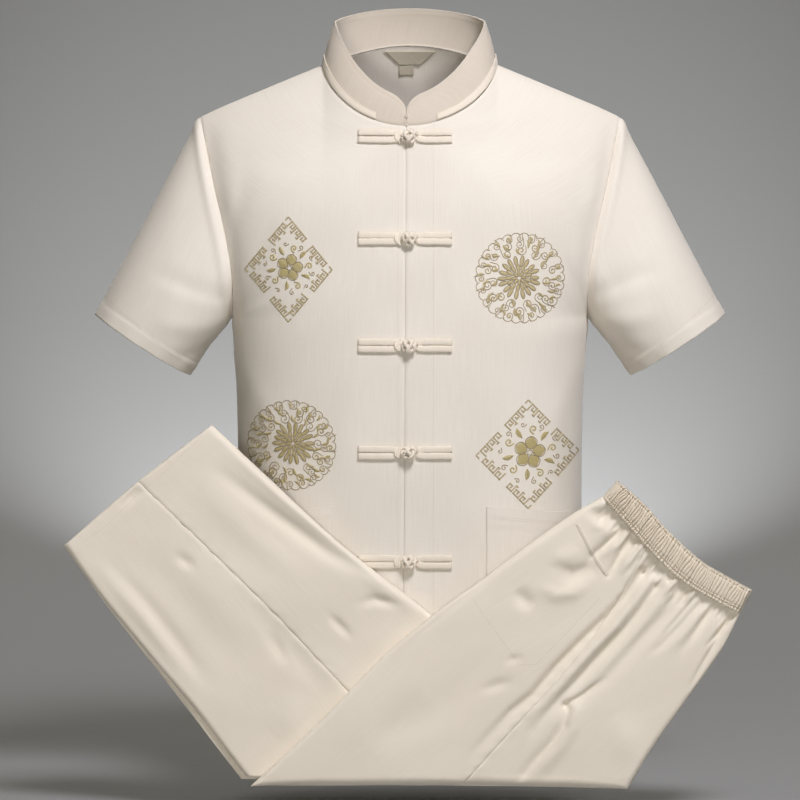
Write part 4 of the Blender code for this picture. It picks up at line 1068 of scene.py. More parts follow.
def sweep(path, ups, half_widths, half_heights, sides=14, squareness=1.0):
    """A closed tube along a path. ups point away from the cloth, half widths and heights vary along it."""
    path = np.asarray(path, dtype=float)
    run = np.gradient(path, axis=0)
    run /= np.linalg.norm(run, axis=1, keepdims=True)
    ups = np.asarray(ups, dtype=float)
    ups = ups - run * (ups * run).sum(axis=1, keepdims=True)
    ups /= np.linalg.norm(ups, axis=1, keepdims=True)
    across = np.cross(run, ups)
    turn = 2 * np.pi * np.arange(sides) / sides
    c = np.sign(np.cos(turn)) * np.abs(np.cos(turn)) ** squareness
    s = np.sign(np.sin(turn)) * np.abs(np.sin(turn)) ** squareness
    wide = np.broadcast_to(half_widths, len(path))[:, None, None]
    tall = np.broadcast_to(half_heights, len(path))[:, None, None]
    return path[:, None] + across[:, None] * c[None, :, None] * wide + ups[:, None] * s[None, :, None] * tall


def tube_mesh(rings_list):
    """Vertices, faces and grain map of several closed tubes with capped ends."""
    verts, faces, uvs = [], [], []
    for rings in rings_list:
        count, sides = rings.shape[:2]
        first = len(verts)
        along = steps_along(rings, 0)[:, 0]
        girth = float(np.linalg.norm(np.diff(np.vstack([rings[0], rings[0][:1]]), axis=0), axis=1).sum())
        verts += [tuple(p) for p in rings.reshape(-1, 3)]
        uvs += [(along[i], girth * k / sides) for i in range(count) for k in range(sides)]
        faces += [tuple(first + index for index in quad) for quad in grid_faces(count, sides, True, False)]
        for i, flip in ((0, True), (count - 1, False)):
            verts.append(tuple(rings[i].mean(axis=0)))
            uvs.append((along[i], 0.0))
            hub = len(verts) - 1
            for k in range(sides):
                edge = (first + i * sides + k, first + i * sides + (k + 1) % sides)
                faces.append((hub, edge[1], edge[0]) if flip else (hub, edge[0], edge[1]))
    return verts, faces, uvs


def tube_piece(name, rings_list, material):
    """A piece made of closed tubes, all facing outwards."""
    verts, faces, uvs = tube_mesh(rings_list)
    piece = mesh_object(name, verts, faces, uvs, material)
    bm = bmesh.new()
    bm.from_mesh(piece.data)
    bmesh.ops.recalc_face_normals(bm, faces=bm.faces)
    bm.to_mesh(piece.data)
    bm.free()
    return piece


# %% Frog strips
def strip_tubes(height, x_knot, x_end, seed):
    """Two tubes from the knot to the end of the strip, with the uneven puckers of hand sewing."""
    draw = random.Random(seed)
    tubes = []
    for row in (-1, 1):
        shares = np.concatenate([[0.0, 0.01, 0.03], np.linspace(0.06, 0.95, 44), [0.97, 0.985, 0.995, 1.0]])
        xs = x_knot + (x_end - x_knot) * shares
        drift = draw.uniform(-0.5, 0.5) * MM
        spread_out = 0.5 + 0.5 * np.clip(shares / 0.22, 0, 1) ** 0.6
        zs = height + row * TUBE_HALF * spread_out + drift * np.sin(np.pi * shares)
        hits = [drop_on(fronts_tree, float(x), float(z)) for x, z in zip(xs, zs)]
        points = np.array([h[0] for h in hits])
        ups = np.array([h[1] for h in hits])
        ups = np.array([ups[max(i - 3, 0):i + 4].mean(axis=0) for i in range(len(ups))])
        phase = draw.uniform(0, 6)
        pucker = 1 + 0.07 * np.sin(xs / (2.6 * MM) + phase) * np.sin(xs / (9.0 * MM))
        end = np.sqrt(np.clip(1 - np.clip((shares - 0.965) / 0.035, 0, 1) ** 2, 0.2, 1))
        start = np.clip(shares / 0.04, 0.55, 1)
        rise = TUBE_RISE * pucker * end * start
        tubes.append(sweep(points + ups * (rise + 0.35 * MM)[:, None], ups, TUBE_HALF * 0.985 * start, rise, 16, 0.8))
    return tubes


def loop_ring(height, seed):
    """The loop that goes round the knot, seen as two or three short turns beside it."""
    draw = random.Random(seed)
    rings = []
    for k, offset in enumerate((-9.4, -11.4, -13.2)):
        turn = np.linspace(-0.5 * np.pi, 0.5 * np.pi, 15)
        size = (6.6 - 1.3 * k) * MM
        x = FROG_KNOT_X + offset * MM - 2.2 * MM * np.cos(turn) + draw.uniform(-0.3, 0.3) * MM
        z = height + size * np.sin(turn) + draw.uniform(-0.4, 0.4) * MM
        hits = [drop_on(fronts_tree, float(a), float(b)) for a, b in zip(x, z)]
        points = np.array([h[0] for h in hits])
        ups = np.array([(0.0, -1.0, 0.0)] * len(points))
        lift = (3.2 + 0.4 * k) * MM * (0.65 + 0.35 * np.cos(turn))
        rings.append(sweep(points + ups * lift[:, None], ups, 1.35 * MM, 1.25 * MM, 10))
    return rings


# %% [markdown]
# The ball knot is one tube that winds over and under itself. A path round a sphere that crosses its own
# track, going out where it passes over and in where it passes under, gives the same woven face.

# %% Knots and frogs
KNOT_RADIUS = 6.2 * MM
KNOT_TUBE = 2.05 * MM


def knot_rings(height, seed):
    """The tube of one ball knot."""
    draw = random.Random(seed)
    t = np.linspace(0, 2 * np.pi, 150)
    a, b = 3, 4
    lon = a * t
    lat = 1.12 * np.sin(b * t)
    radius = KNOT_RADIUS - 0.2 * MM + 1.0 * MM * np.cos(b * t * 2 + lon)
    tilt, roll_by = draw.uniform(-0.5, 0.5), draw.uniform(0, 6.28)
    points = np.stack([np.cos(lat) * np.cos(lon), np.cos(lat) * np.sin(lon), np.sin(lat)], axis=1)
    turn_z = np.array([[math.cos(roll_by), -math.sin(roll_by), 0], [math.sin(roll_by), math.cos(roll_by), 0], [0, 0, 1]])
    turn_x = np.array([[1, 0, 0], [0, math.cos(tilt), -math.sin(tilt)], [0, math.sin(tilt), math.cos(tilt)]])
    points = points @ turn_z.T @ turn_x.T
    hit, _ = drop_on(fronts_tree, FROG_KNOT_X, height)
    centre = np.array([FROG_KNOT_X, hit[1] - KNOT_RADIUS * 0.82 - 0.6 * MM, height])
    squash = np.array([1.18, 0.82, 1.08])
    ups = points.copy()
    path = centre + points * squash * radius[:, None]
    core_turn = np.linspace(0, np.pi, 9)
    return sweep(path, ups, KNOT_TUBE, KNOT_TUBE * 0.8, 10), centre, core_turn


frog_pieces = {side: [] for side in (-1, 1)}
for number, height in enumerate(FROG_HEIGHTS, start=1):
    knot_half = 8.2 * MM
    loop = tube_piece(f"frog_{number}_loop_cord", strip_tubes(height, FROG_KNOT_X - knot_half, LOOP_END_X, number)
                      + loop_ring(height, 40 + number), TRIM_CLOTH)
    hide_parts(f"frog_{number}_loop")
    stem = tube_piece(f"frog_{number}_stem_cord", strip_tubes(height, FROG_KNOT_X + knot_half, STEM_END_X, 20 + number),
                      TRIM_CLOTH)
    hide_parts(f"frog_{number}_stem")
    rings, centre, _ = knot_rings(height, 60 + number)
    core = sweep(centre + np.linspace(-1, 1, 9)[:, None] * np.array([4.6 * MM, 0, 0]), [(0, -1, 0)] * 9,
                 3.9 * MM * np.sqrt(np.clip(1 - np.linspace(-1, 1, 9) ** 2, 0.05, 1)),
                 3.0 * MM * np.sqrt(np.clip(1 - np.linspace(-1, 1, 9) ** 2, 0.05, 1)), 12)
    knot = tube_piece(f"frog_{number}_knot_cord", [rings, core], TRIM_CLOTH)
    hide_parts(f"frog_{number}_knot")
    frog_pieces[-1].append(loop)
    frog_pieces[1] += [stem, knot]
print("frogs", sum(len(v) for v in frog_pieces.values()), "pieces")

# %% [markdown]
# Four motifs are embroidered on the fronts: two diamonds with a border of square key fret and two round
# ones. Each stroke is satin stitch, a low ridge of thread laid side by side. A stroke is a narrow ribbon,
# domed across, that is dropped onto the cloth. The flowers, leaves and clouds are plain ones of their kind.

# %% Embroidery strokes
STROKE_STEP = 1.0
STROKE_SECTION = ((-1.0, -0.25), (-0.62, 0.75), (0.0, 1.0), (0.62, 0.75), (1.0, -0.25))
LAYER_LIFT = 0.10 * MM


def smooth_path(points, closed=False):
    """Extra points on a smooth curve through a few given ones."""
    points = [np.array(p, dtype=float) for p in points]
    if closed:
        ring = [points[-1]] + points + points[:2]
    else:
        ring = [2 * points[0] - points[1]] + points + [2 * points[-1] - points[-2]]
    out = []
    for p0, p1, p2, p3 in zip(ring, ring[1:], ring[2:], ring[3:]):
        for t in np.linspace(0, 1, 7)[:-1]:
            out.append(0.5 * (2 * p1 + (p2 - p0) * t + (2 * p0 - 5 * p1 + 4 * p2 - p3) * t ** 2
                              + (3 * p1 - p0 - 3 * p2 + p3) * t ** 3))
    out.append(ring[-2])
    return np.array(out)


def evenly(path):
    """The path at even steps, and its length."""
    path = np.asarray(path, dtype=float)
    run = np.concatenate([[0.0], np.cumsum(np.linalg.norm(np.diff(path, axis=0), axis=1))])
    count = max(int(round(run[-1] / STROKE_STEP)), 3)
    at = np.linspace(0, run[-1], count + 1)
    return np.stack([np.interp(at, run, path[:, 0]), np.interp(at, run, path[:, 1])], axis=1), run[-1]


class Embroidery:
    """The strokes of one motif, sorted by thread. Places are in millimetres from the motif's centre."""

    def __init__(self, centre):
        self.centre = centre
        self.threads = {}

    def stroke(self, thread, path, width, layer=0, rise=0.45, shape="even"):
        """Lay one satin stroke along a path. shape is even, leaf or taper."""
        line, length = evenly(path)
        run = np.gradient(line, axis=0)
        run /= np.maximum(np.linalg.norm(run, axis=1, keepdims=True), 1e-9)
        side = np.stack([-run[:, 1], run[:, 0]], axis=1)
        share = np.linspace(0, 1, len(line))
        size = {"even": np.ones_like(share), "leaf": np.clip(np.sin(np.pi * share), 0.06, 1) ** 0.75,
                "taper": np.clip(1 - share, 0.12, 1) ** 0.6}[shape]
        self.threads.setdefault(thread, []).append((line, side, size * width / 2, length, layer, rise))

    def pieces(self, name, materials):
        """One mesh for each thread, dropped onto the fronts."""
        made = []
        for thread, strokes in self.threads.items():
            verts, faces, uvs = [], [], []
            for line, side, half, length, layer, rise in strokes:
                first, wide = len(verts), len(STROKE_SECTION)
                for i in range(len(line)):
                    for across, high in STROKE_SECTION:
                        x, z = (self.centre + line[i] + side[i] * half[i] * across) * MM
                        hit, normal = drop_on(fronts_tree, float(x), float(z))
                        verts.append(tuple(hit + normal * (high * rise * MM + LAYER_LIFT * layer)))
                        uvs.append((length * MM * i / (len(line) - 1), half[i] * across * MM))
                faces += [tuple(first + k for k in quad) for quad in grid_faces(len(line), wide, False, False)]
            piece = mesh_object(f"{name}_{thread}", verts, faces, uvs, materials[thread])
            if sum(p.normal.y * p.area for p in piece.data.polygons) > 0:
                piece.data.flip_normals()
            made.append(piece)
        return made


# %% Flowers, leaves, clouds and frets
def turned(points, angle, offset=(0.0, 0.0)):
    """Turn points about the origin, then move them."""
    c, s = math.cos(angle), math.sin(angle)
    return [(x * c - z * s + offset[0], x * s + z * c + offset[1]) for x, z in points]


def petal(work, angle, start, end, width, fill, offset=(0.0, 0.0), layer=1):
    """A petal: a filled leaf shape with a thin outline round it."""
    spine = turned([(start, 0), ((start + end) / 2, 0), (end, 0)], angle, offset)
    work.stroke(fill, smooth_path(spine), width, layer, 0.5, "leaf")
    rim = [(start, 0), (start + (end - start) * 0.3, width * 0.42), (start + (end - start) * 0.72, width * 0.5),
           (end, width * 0.16), (end, -width * 0.16), (start + (end - start) * 0.72, -width * 0.5),
           (start + (end - start) * 0.3, -width * 0.42)]
    work.stroke("outline", smooth_path(turned(rim, angle, offset), closed=True), 0.9, layer + 1, 0.4)


def leaf(work, angle, start, end, width, bend, fill, offset=(0.0, 0.0)):
    """A curved leaf with a vein."""
    spine = turned([(start, 0), ((start * 2 + end) / 3, bend * 0.7), ((start + end * 2) / 3, bend), (end, bend * 0.4)],
                   angle, offset)
    work.stroke(fill, smooth_path(spine), width, 1, 0.6, "leaf")
    work.stroke("outline", smooth_path(spine), 0.9, 3, 0.6, "taper")


def curl(work, thread, centre, radius, turns, begin, way, width=1.3, tail=0.0):
    """A spiral cloud curl, with a tail that leads away."""
    t = np.linspace(0, 1, 26)
    r = radius * (0.18 + 0.82 * t)
    angle = begin + way * 2 * np.pi * turns * t
    path = np.stack([centre[0] + r * np.cos(angle), centre[1] + r * np.sin(angle)], axis=1)
    if tail:
        out = path[-1] - path[-2]
        out /= np.linalg.norm(out)
        path = np.vstack([path, path[-1] + out * tail * 0.5, path[-1] + out * tail])
    work.stroke(thread, path, width, 1, 0.4)


FRET_HEIGHT = 8.4
FRET_HOOK = ((0.0, 0.0), (0.0, 1.0), (0.72, 1.0), (0.72, 0.38), (0.36, 0.38), (0.36, 0.66))
FRET_LINES = (("fret", 1.9, 0), ("pale", 0.8, 3))


def fret(work, start, end, units):
    """Square key fret from one point to another, hooks to the left of the way: a dark edge and a pale middle."""
    start, end = np.array(start), np.array(end)
    run = end - start
    length = np.linalg.norm(run)
    run /= length
    side = np.array([-run[1], run[0]])
    pitch = length / units
    for k in range(units):
        path = [start + run * pitch * (k + u) + side * FRET_HEIGHT * v for u, v in FRET_HOOK]
        for thread, width, layer in FRET_LINES:
            for a, b in zip(path, path[1:]):
                step = (b - a) / np.linalg.norm(b - a) * width * 0.5
                work.stroke(thread, [a - step, b + step], width, layer, 0.35)
        if k:
            for thread, width, layer in FRET_LINES:
                work.stroke(thread, [start + run * pitch * (k - 0.28), start + run * pitch * (k + 0.1)],
                            width, layer, 0.3)


# %% Diamonds and roundels
def diamond(centre, half_width, half_height, seed):
    """A key-fret diamond round a five-petalled blossom with leaves and clouds."""
    work = Embroidery(np.array(centre))
    corners = [np.array(c) for c in ((0, half_height), (half_width, 0), (0, -half_height), (-half_width, 0))]
    for a, b in zip(corners, corners[1:] + corners[:1]):
        run = (b - a) / np.linalg.norm(b - a)
        inward = np.array([run[1], -run[0]]) * FRET_HEIGHT
        length = np.linalg.norm(b - a)
        half = (length - 2 * 7.0 - 9.0) / 2
        for begin in (7.0, 7.0 + half + 9.0):
            first = a + run * begin + inward * 1.0
            fret(work, first, first + run * half, 3)
        for thread, width, layer in FRET_LINES:
            work.stroke(thread, [a, a + run * 5.0], width, layer, 0.35)
            work.stroke(thread, [b, b - run * 5.0], width, layer, 0.35)
    draw = random.Random(seed)
    tilt = draw.uniform(-0.3, 0.3)
    scale = half_width / 52.0
    for k in range(5):
        petal(work, tilt + math.pi / 2 + 2 * math.pi * k / 5, 3.2 * scale, 15.5 * scale, 11.5 * scale, "gold", (1.5, 2.0), 1)
    for k in range(8):
        x, z = turned([(2.6, 0)], 2 * math.pi * k / 8, (1.5, 2.0))[0]
        work.stroke("outline", [(x - 0.5, z), (x + 0.5, z)], 1.2, 4, 0.6)
    for k in range(5):
        angle = tilt - math.pi / 2 + 2 * math.pi * k / 5
        leaf(work, angle, 16.5 * scale, 27.5 * scale, 5.2 * scale, 1.6, "gold", (1.5, 2.0))
        spot = turned([(23.5 * scale, 0)], angle + 0.62, (1.5, 2.0))[0]
        curl(work, "gold", spot, 3.9 * scale, 1.2, angle + 2.2, 1, 1.8, 3.0)
        spot = turned([(28.5 * scale, 0)], angle + 0.34, (1.0, 1.0))[0]
        curl(work, "fret", spot, 2.9 * scale, 1.2, angle - 1.0, -1, 1.0, 3.0)
        spot = turned([(29.5 * scale, 0)], angle - 0.26, (1.0, 1.0))[0]
        curl(work, "fret", spot, 2.4 * scale, 1.1, angle + 3.0, 1, 1.0, 2.5)
    return work


def roundel(centre, radius, seed, fill):
    """A chrysanthemum in rings of cloud curls and leaves, with a scalloped rim."""
    work = Embroidery(np.array(centre))
    draw = random.Random(seed)
    heart = (draw.uniform(-2.5, 2.5), draw.uniform(-2.5, 2.5))
    for count, start, end, width in ((18, 12.5, 23.5, 4.0), (13, 7.0, 15.0, 3.8), (8, 2.0, 8.0, 3.0)):
        turn = draw.uniform(0, 1)
        for k in range(count):
            angle = turn + 2 * math.pi * k / count + draw.uniform(-0.04, 0.04)
            reach = end * draw.uniform(0.93, 1.05)
            petal(work, angle, start, reach, width, fill if (k + count) % 3 else "pale", heart, 1 if count > 10 else 3)
    for ring, count, size, thread in ((30.5, 11, 5.6, "fret"), (37.5, 14, 5.2, "outline"), (44.0, 20, 4.0, "fret")):
        ring *= radius / 50
        turn = draw.uniform(0, 1)
        for k in range(count):
            angle = turn + 2 * math.pi * (k + draw.uniform(-0.12, 0.12)) / count
            spot = (ring * math.cos(angle), ring * math.sin(angle))
            way = 1 if draw.random() < 0.7 else -1
            curl(work, thread, spot, size * draw.uniform(0.85, 1.1), 1.45, angle + 2.3 * way, way, 0.95, draw.uniform(3, 7))
            if k % 2:
                curl(work, fill, spot, size * 0.62, 1.0, angle + 2.3 * way, way, 1.3, 2.0)
    for ring, count, reach in ((26.0, 11, 9.0), (34.0, 14, 9.5), (40.5, 16, 7.0)):
        turn = draw.uniform(0, 1)
        for k in range(count):
            angle = turn + 2 * math.pi * k / count + draw.uniform(-0.1, 0.1)
            leaf(work, angle + 0.5, 0.0, reach, 3.4, draw.choice((-2.2, 2.2)), fill if k % 2 else "pale",
                 (ring * math.cos(angle), ring * math.sin(angle)))
    scallops = 30
    for k in range(scallops):
        angle = 2 * math.pi * k / scallops
        arc = [(radius - 2.2, -4.9), (radius - 0.2, -2.6), (radius + 0.3, 0.0), (radius - 0.2, 2.6), (radius - 2.2, 4.9)]
        work.stroke("outline" if k % 2 else "fret", smooth_path(turned(arc, angle)), 1.0, 0, 0.4)
        tuft = turned([(radius - 4.5, 0), (radius - 2.6, 1.0), (radius - 1.0, 2.6)], angle + 0.1)
        work.stroke("fret", smooth_path(tuft), 0.9, 0, 0.4, "taper")
    return work


THREADS = {"gold": GOLD_THREAD, "outline": OUTLINE_THREAD, "pale": PALE_GOLD_THREAD, "fret": FRET_THREAD}
MOTIFS = {
    "motif_upper_right": (-1, diamond((-136.3, -228.4), 49.0, 58.6, 1)),
    "motif_lower_right": (-1, roundel((-133.3, -425.3), 50.0, 2, "gold")),
    "motif_upper_left": (1, roundel((123.0, -237.9), 50.0, 3, "pale")),
    "motif_lower_left": (1, diamond((132.3, -435.4), 58.7, 60.9, 4)),
}
motif_pieces = {-1: [], 1: []}
for name, (side, work) in MOTIFS.items():
    motif_pieces[side] += work.pieces(name, THREADS)
print("embroidery", {p.name: len(p.data.polygons) for side in (-1, 1) for p in motif_pieces[side]})

# %% [markdown]
# The trousers are folded leg on leg along the side seams and then once across, so that the waist points up
# to the right and the hems up to the left. Each part is a stack of four layers, and only the top layer and
# the rolled edges of the others show. The outlines are those of the solid model.

# %% Trouser sizes
PACK_BACK_Y = -131.3 * MM
FAR_THICKNESS = 14.0 * MM
NEAR_THICKNESS = 16.0 * MM
NEAR_Y = PACK_BACK_Y - FAR_THICKNESS - SEAM_GAP - NEAR_THICKNESS
NEAR_BACK_Y = PACK_BACK_Y - FAR_THICKNESS - SEAM_GAP
FAR_Y = PACK_BACK_Y - FAR_THICKNESS
ROLL_RADIUS = 7.0 * MM
BOTTOM_RADIUS = 13.0 * MM

Point = namedtuple("Point", "x z")
NEAR_LEFT_EDGE = [
    Point(-178, -803), Point(-101, -731), Point(-34, -661), Point(24, -612),
    Point(85, -568), Point(134, -531), Point(178, -500), Point(214, -479),
]
NEAR_RIGHT_EDGE = [Point(243, -806), Point(274, -755), Point(311, -702), Point(347, -650), Point(368, -609)]
NEAR_SEAM = [Point(56, -803), Point(120, -732), Point(173, -673), Point(224, -606), Point(262, -535)]
BAND_LOW = [Point(214, -479), Point(237, -505), Point(263, -535), Point(300, -571), Point(345, -598), Point(368, -609)]
BAND_TOP = [Point(230, -461), Point(262, -489), Point(284, -514), Point(324, -551), Point(352, -568), Point(381, -584)]
FAR_UPPER_EDGE = [Point(236, -794), Point(24, -613), Point(-78, -533), Point(-167, -451), Point(-221, -400)]
FAR_LOWER_EDGE = [Point(-184, -794), Point(-235, -727), Point(-290, -660), Point(-337, -603), Point(-387, -536)]
FAR_SEAM = [Point(30, -794), Point(-70, -697), Point(-167, -595), Point(-240, -524), Point(-303, -463)]
POCKET_MOUTH = [Point(186, -508), Point(192, -520), Point(204, -543), Point(219, -566)]
BAND_REACH = 0.6
SEAM_SHARE = 0.365


def along(points, t):
    """The point at a share t of a polyline's length, in metres, on a smooth curve."""
    lengths = [0.0]
    for a, b in zip(points, points[1:]):
        lengths.append(lengths[-1] + math.hypot(b.x - a.x, b.z - a.z))
    target = min(max(t, 0.0), 1.0) * lengths[-1]
    Row = namedtuple("Row", "length x z")
    rows = [Row(length, p.x, p.z) for length, p in zip(lengths, points)]
    return smooth_value(rows, "x", target) * MM, smooth_value(rows, "z", target) * MM


def edge_line(points, shares):
    """Points of an outline at many shares of its length."""
    return np.array([along(points, float(t)) for t in shares])


# %% [markdown]
# The creases of the trousers run from the waist down to the crossing fold. Each is measured in the front
# view and drawn as a path with its own width, height and lean. Troughs are below zero. The gathers under
# the waistband fan out and fade within a hand's breadth, and are drawn from a seeded list.

# %% Trouser creases
NEAR_FOLDS = [
    Fold([(257, -563), (238, -592), (216, -616), (187, -644), (163, -669), (137, -700), (113, -719), (89, -745), (67, -767)], 6.5, -5.6, -0.2, (0.8, 0.1)),
    Fold([(268, -572), (250, -594), (226, -624), (202, -649), (178, -676), (154, -703), (134, -725)], 5.5, 3.4, 0.0, (0.6, 0.2)),
    Fold([(272, -580), (257, -604), (238, -628), (212, -655), (188, -682), (168, -703), (149, -725), (137, -740)], 6.5, -5.2, -0.25, (0.6, 0.2)),
    Fold([(308, -580), (288, -604), (264, -628), (240, -652), (216, -679), (192, -701), (176, -713)], 9.0, -3.8, 0.0, (0.5, 0.6)),
    Fold([(291, -582), (264, -616), (236, -650), (207, -682), (183, -706)], 8.0, 2.6, 0.0, (0.4, 0.3)),
    Fold([(216, -682), (192, -701), (173, -712)], 3.5, -3.2, 0.0, (0.1, 1.0)),
    Fold([(176, -716), (172, -735), (159, -754), (139, -776), (118, -801)], 5.0, -3.4, 0.3, (1.0, 0.3)),
    Fold([(183, -718), (180, -737), (168, -757), (152, -776), (132, -801)], 8.0, 2.4, 0.0, (0.6, 0.2)),
    Fold([(357, -606), (346, -631), (334, -652), (320, -677), (310, -694)], 3.0, -3.2, 0.0, (0.9, 0.2)),
    Fold([(363, -606), (354, -631), (339, -655)], 3.0, -2.2, 0.0, (0.9, 0.2)),
    Fold([(325, -594), (303, -621), (281, -643), (265, -655)], 5.0, -2.6, 0.0, (0.8, 0.1)),
    Fold([(339, -597), (320, -626), (298, -655)], 6.0, -2.2, 0.0, (0.8, 0.1)),
    Fold([(332, -597), (313, -623), (289, -650)], 7.0, 1.8, 0.0, (0.7, 0.1)),
    Fold([(238, -510), (230, -520), (216, -534), (202, -545)], 4.0, -4.0, 0.0, (0.7, 0.3)),
    Fold([(250, -522), (240, -534), (230, -551), (221, -565)], 4.5, -4.2, 0.0, (0.7, 0.4)),
    Fold([(242, -512), (233, -529), (218, -541)], 5.0, 3.0, 0.0, (0.6, 0.3)),
    Fold([(257, -531), (245, -543), (235, -558)], 5.0, 3.0, 0.0, (0.6, 0.3)),
    Fold([(270, -534), (264, -548), (257, -563)], 3.5, -3.0, 0.0, (0.8, 0.4)),
    Fold([(284, -551), (274, -563), (270, -577)], 4.0, -3.0, 0.0, (0.8, 0.3)),
    Fold([(199, -494), (211, -502), (223, -498)], 7.0, -3.4, 0.0, (0.5, 0.5)),
    Fold([(202, -502), (216, -517), (206, -529)], 7.0, 2.0, 0.0, (0.3, 0.3)),
    Fold([(168, -558), (182, -565), (197, -558), (202, -546)], 9.0, -4.2, 0.2, (0.3, 0.4)),
    Fold([(144, -580), (163, -588), (182, -585), (199, -572)], 8.0, 2.6, 0.0, (0.2, 0.2)),
    Fold([(117, -582), (127, -594), (137, -604)], 8.0, -3.0, 0.0, (0.1, 0.1)),
    Fold([(158, -543), (173, -548), (187, -534)], 9.0, 2.0, 0.0, (0.1, 0.2)),
    Fold([(76, -697), (96, -689), (115, -684)], 6.0, -1.8, 0.0, (0.1, 0.1)),
    Fold([(105, -662), (127, -658)], 5.0, -1.3, 0.0, (0.1, 0.1)),
    Fold([(180, -498), (153, -517), (117, -541), (81, -572), (33, -611), (-10, -650)], 5.0, -1.7, 0.0, (0.6, 0.1)),
    Fold([(40, -640), (-20, -700), (-90, -760)], 26.0, 2.0, 0.0, (0.1, 0.1)),
    Fold([(20, -700), (-40, -760)], 20.0, -1.6, 0.0, (0.1, 0.1)),
    Fold([(230, -720), (250, -780)], 18.0, 2.0, 0.0, (0.2, 0.4)),
    Fold([(100, -640), (60, -690), (10, -745)], 18.0, -1.4, 0.0, (0.1, 0.1)),
]
FAR_FOLDS = [
    Fold([(-211, -453), (-151, -500), (-90, -544), (-47, -565)], 8.5, -3.8, 0.0, (0.2, 0.2)),
    Fold([(-200, -430), (-140, -478), (-70, -530), (0, -585)], 8.0, 2.4, 0.0, (0.2, 0.2)),
    Fold([(-56, -600), (-39, -595), (-14, -600)], 5.0, -2.8, 0.0, (0.2, 0.3)),
    Fold([(-91, -612), (-65, -638)], 5.0, -2.2, 0.0, (0.1, 0.1)),
    Fold([(-262, -544), (-240, -560)], 6.0, -2.0, 0.0, (0.1, 0.1)),
    Fold([(-159, -631), (-138, -668)], 7.0, -2.2, 0.0, (0.1, 0.1)),
    Fold([(-320, -488), (-298, -470)], 4.5, -2.4, 0.0, (0.5, 0.2)),
    Fold([(-346, -560), (-300, -610), (-240, -690)], 10.0, 2.6, 0.0, (0.2, 0.1)),
    Fold([(-330, -560), (-285, -612), (-225, -690)], 9.0, -2.2, 0.0, (0.2, 0.1)),
    Fold([(-300, -540), (-250, -600), (-190, -670)], 20.0, -2.0, 0.0, (0.1, 0.1)),
    Fold([(-240, -460), (-180, -520), (-110, -580)], 16.0, 2.0, 0.0, (0.1, 0.1)),
    Fold([(-120, -700), (-150, -750)], 18.0, 1.8, 0.0, (0.1, 0.1)),
    Fold([(-60, -560), (-20, -590), (10, -612)], 9.0, 1.8, 0.0, (0.2, 0.3)),
    Fold([(-190, -590), (-140, -640), (-80, -720)], 12.0, -1.6, 0.0, (0.1, 0.1)),
]


def gather_folds(seed, count=34):
    """Short creases that fan out from the waistband, uneven in length, width and height."""
    draw = random.Random(seed)
    table = []
    for k in range(count):
        share = (k + 0.5 + draw.uniform(-0.3, 0.3)) / count
        x, z = along(BAND_LOW, share)
        lean = draw.uniform(-0.12, 0.12)
        length = draw.choice((20, 28, 36, 50, 66)) * draw.uniform(0.8, 1.2)
        dx, dz = (-0.60 + lean) * length, (-0.80 - lean * 0.4) * length
        start = (x / MM + 2.0, z / MM + 2.0)
        table.append(Fold([start, (start[0] + dx * 0.5, start[1] + dz * 0.5), (start[0] + dx, start[1] + dz)],
                          draw.uniform(2.2, 3.6), draw.choice((-3.0, -2.4, 2.2, -3.4)) * draw.uniform(0.7, 1.1),
                          0.0, (1.0, 0.05)))
    return table


GATHER_FOLDS = gather_folds(7)
print("creases", len(NEAR_FOLDS) + len(FAR_FOLDS), "and", len(GATHER_FOLDS), "gathers")

# %% [markdown]
# A panel is a grid between two of its outlines. At a free edge it rolls back over the layers behind it and
# carries on a little way round, so that no cut edge shows. At the bottom the upper part turns under and
# becomes the lower part, which gives a rounder roll.

# %% Panel grids
ROLL_STEPS = np.array([0.0, 0.02, 0.08, 0.18, 0.32, 0.5, 0.72, 1.0, 1.4])
UNDER_TURNS = np.radians([75.0, 50.0, 25.0])
CREASE_DEPTH = 1.25


def rolled_drop(distance, radius):
    """How far a rolled edge has dropped back at a distance in from its outline."""
    short = np.clip(radius - distance, 0.0, radius)
    return radius - np.sqrt(np.maximum(radius ** 2 - short ** 2, 0.0))


def slow_wave(x, z, seed, size, height):
    """A slow unevenness of the cloth: a few seeded waves in different directions."""
    draw = random.Random(seed)
    total = np.zeros_like(x)
    for _ in range(6):
        way = draw.uniform(0, math.pi)
        pitch = size * draw.uniform(0.7, 1.6)
        total += np.sin((x * math.cos(way) + z * math.sin(way)) * 2 * math.pi / pitch + draw.uniform(0, 6.28))
    return total * height / 2.5


def bottom_radius(u, width):
    """The roll at the crossing fold is small at its two corners and round in the middle."""
    near = np.minimum(u, 1 - u) * width
    return 3.0 * MM + (BOTTOM_RADIUS - 3.0 * MM) * np.sqrt(np.clip(near / (70 * MM), 0.0, 1.0))


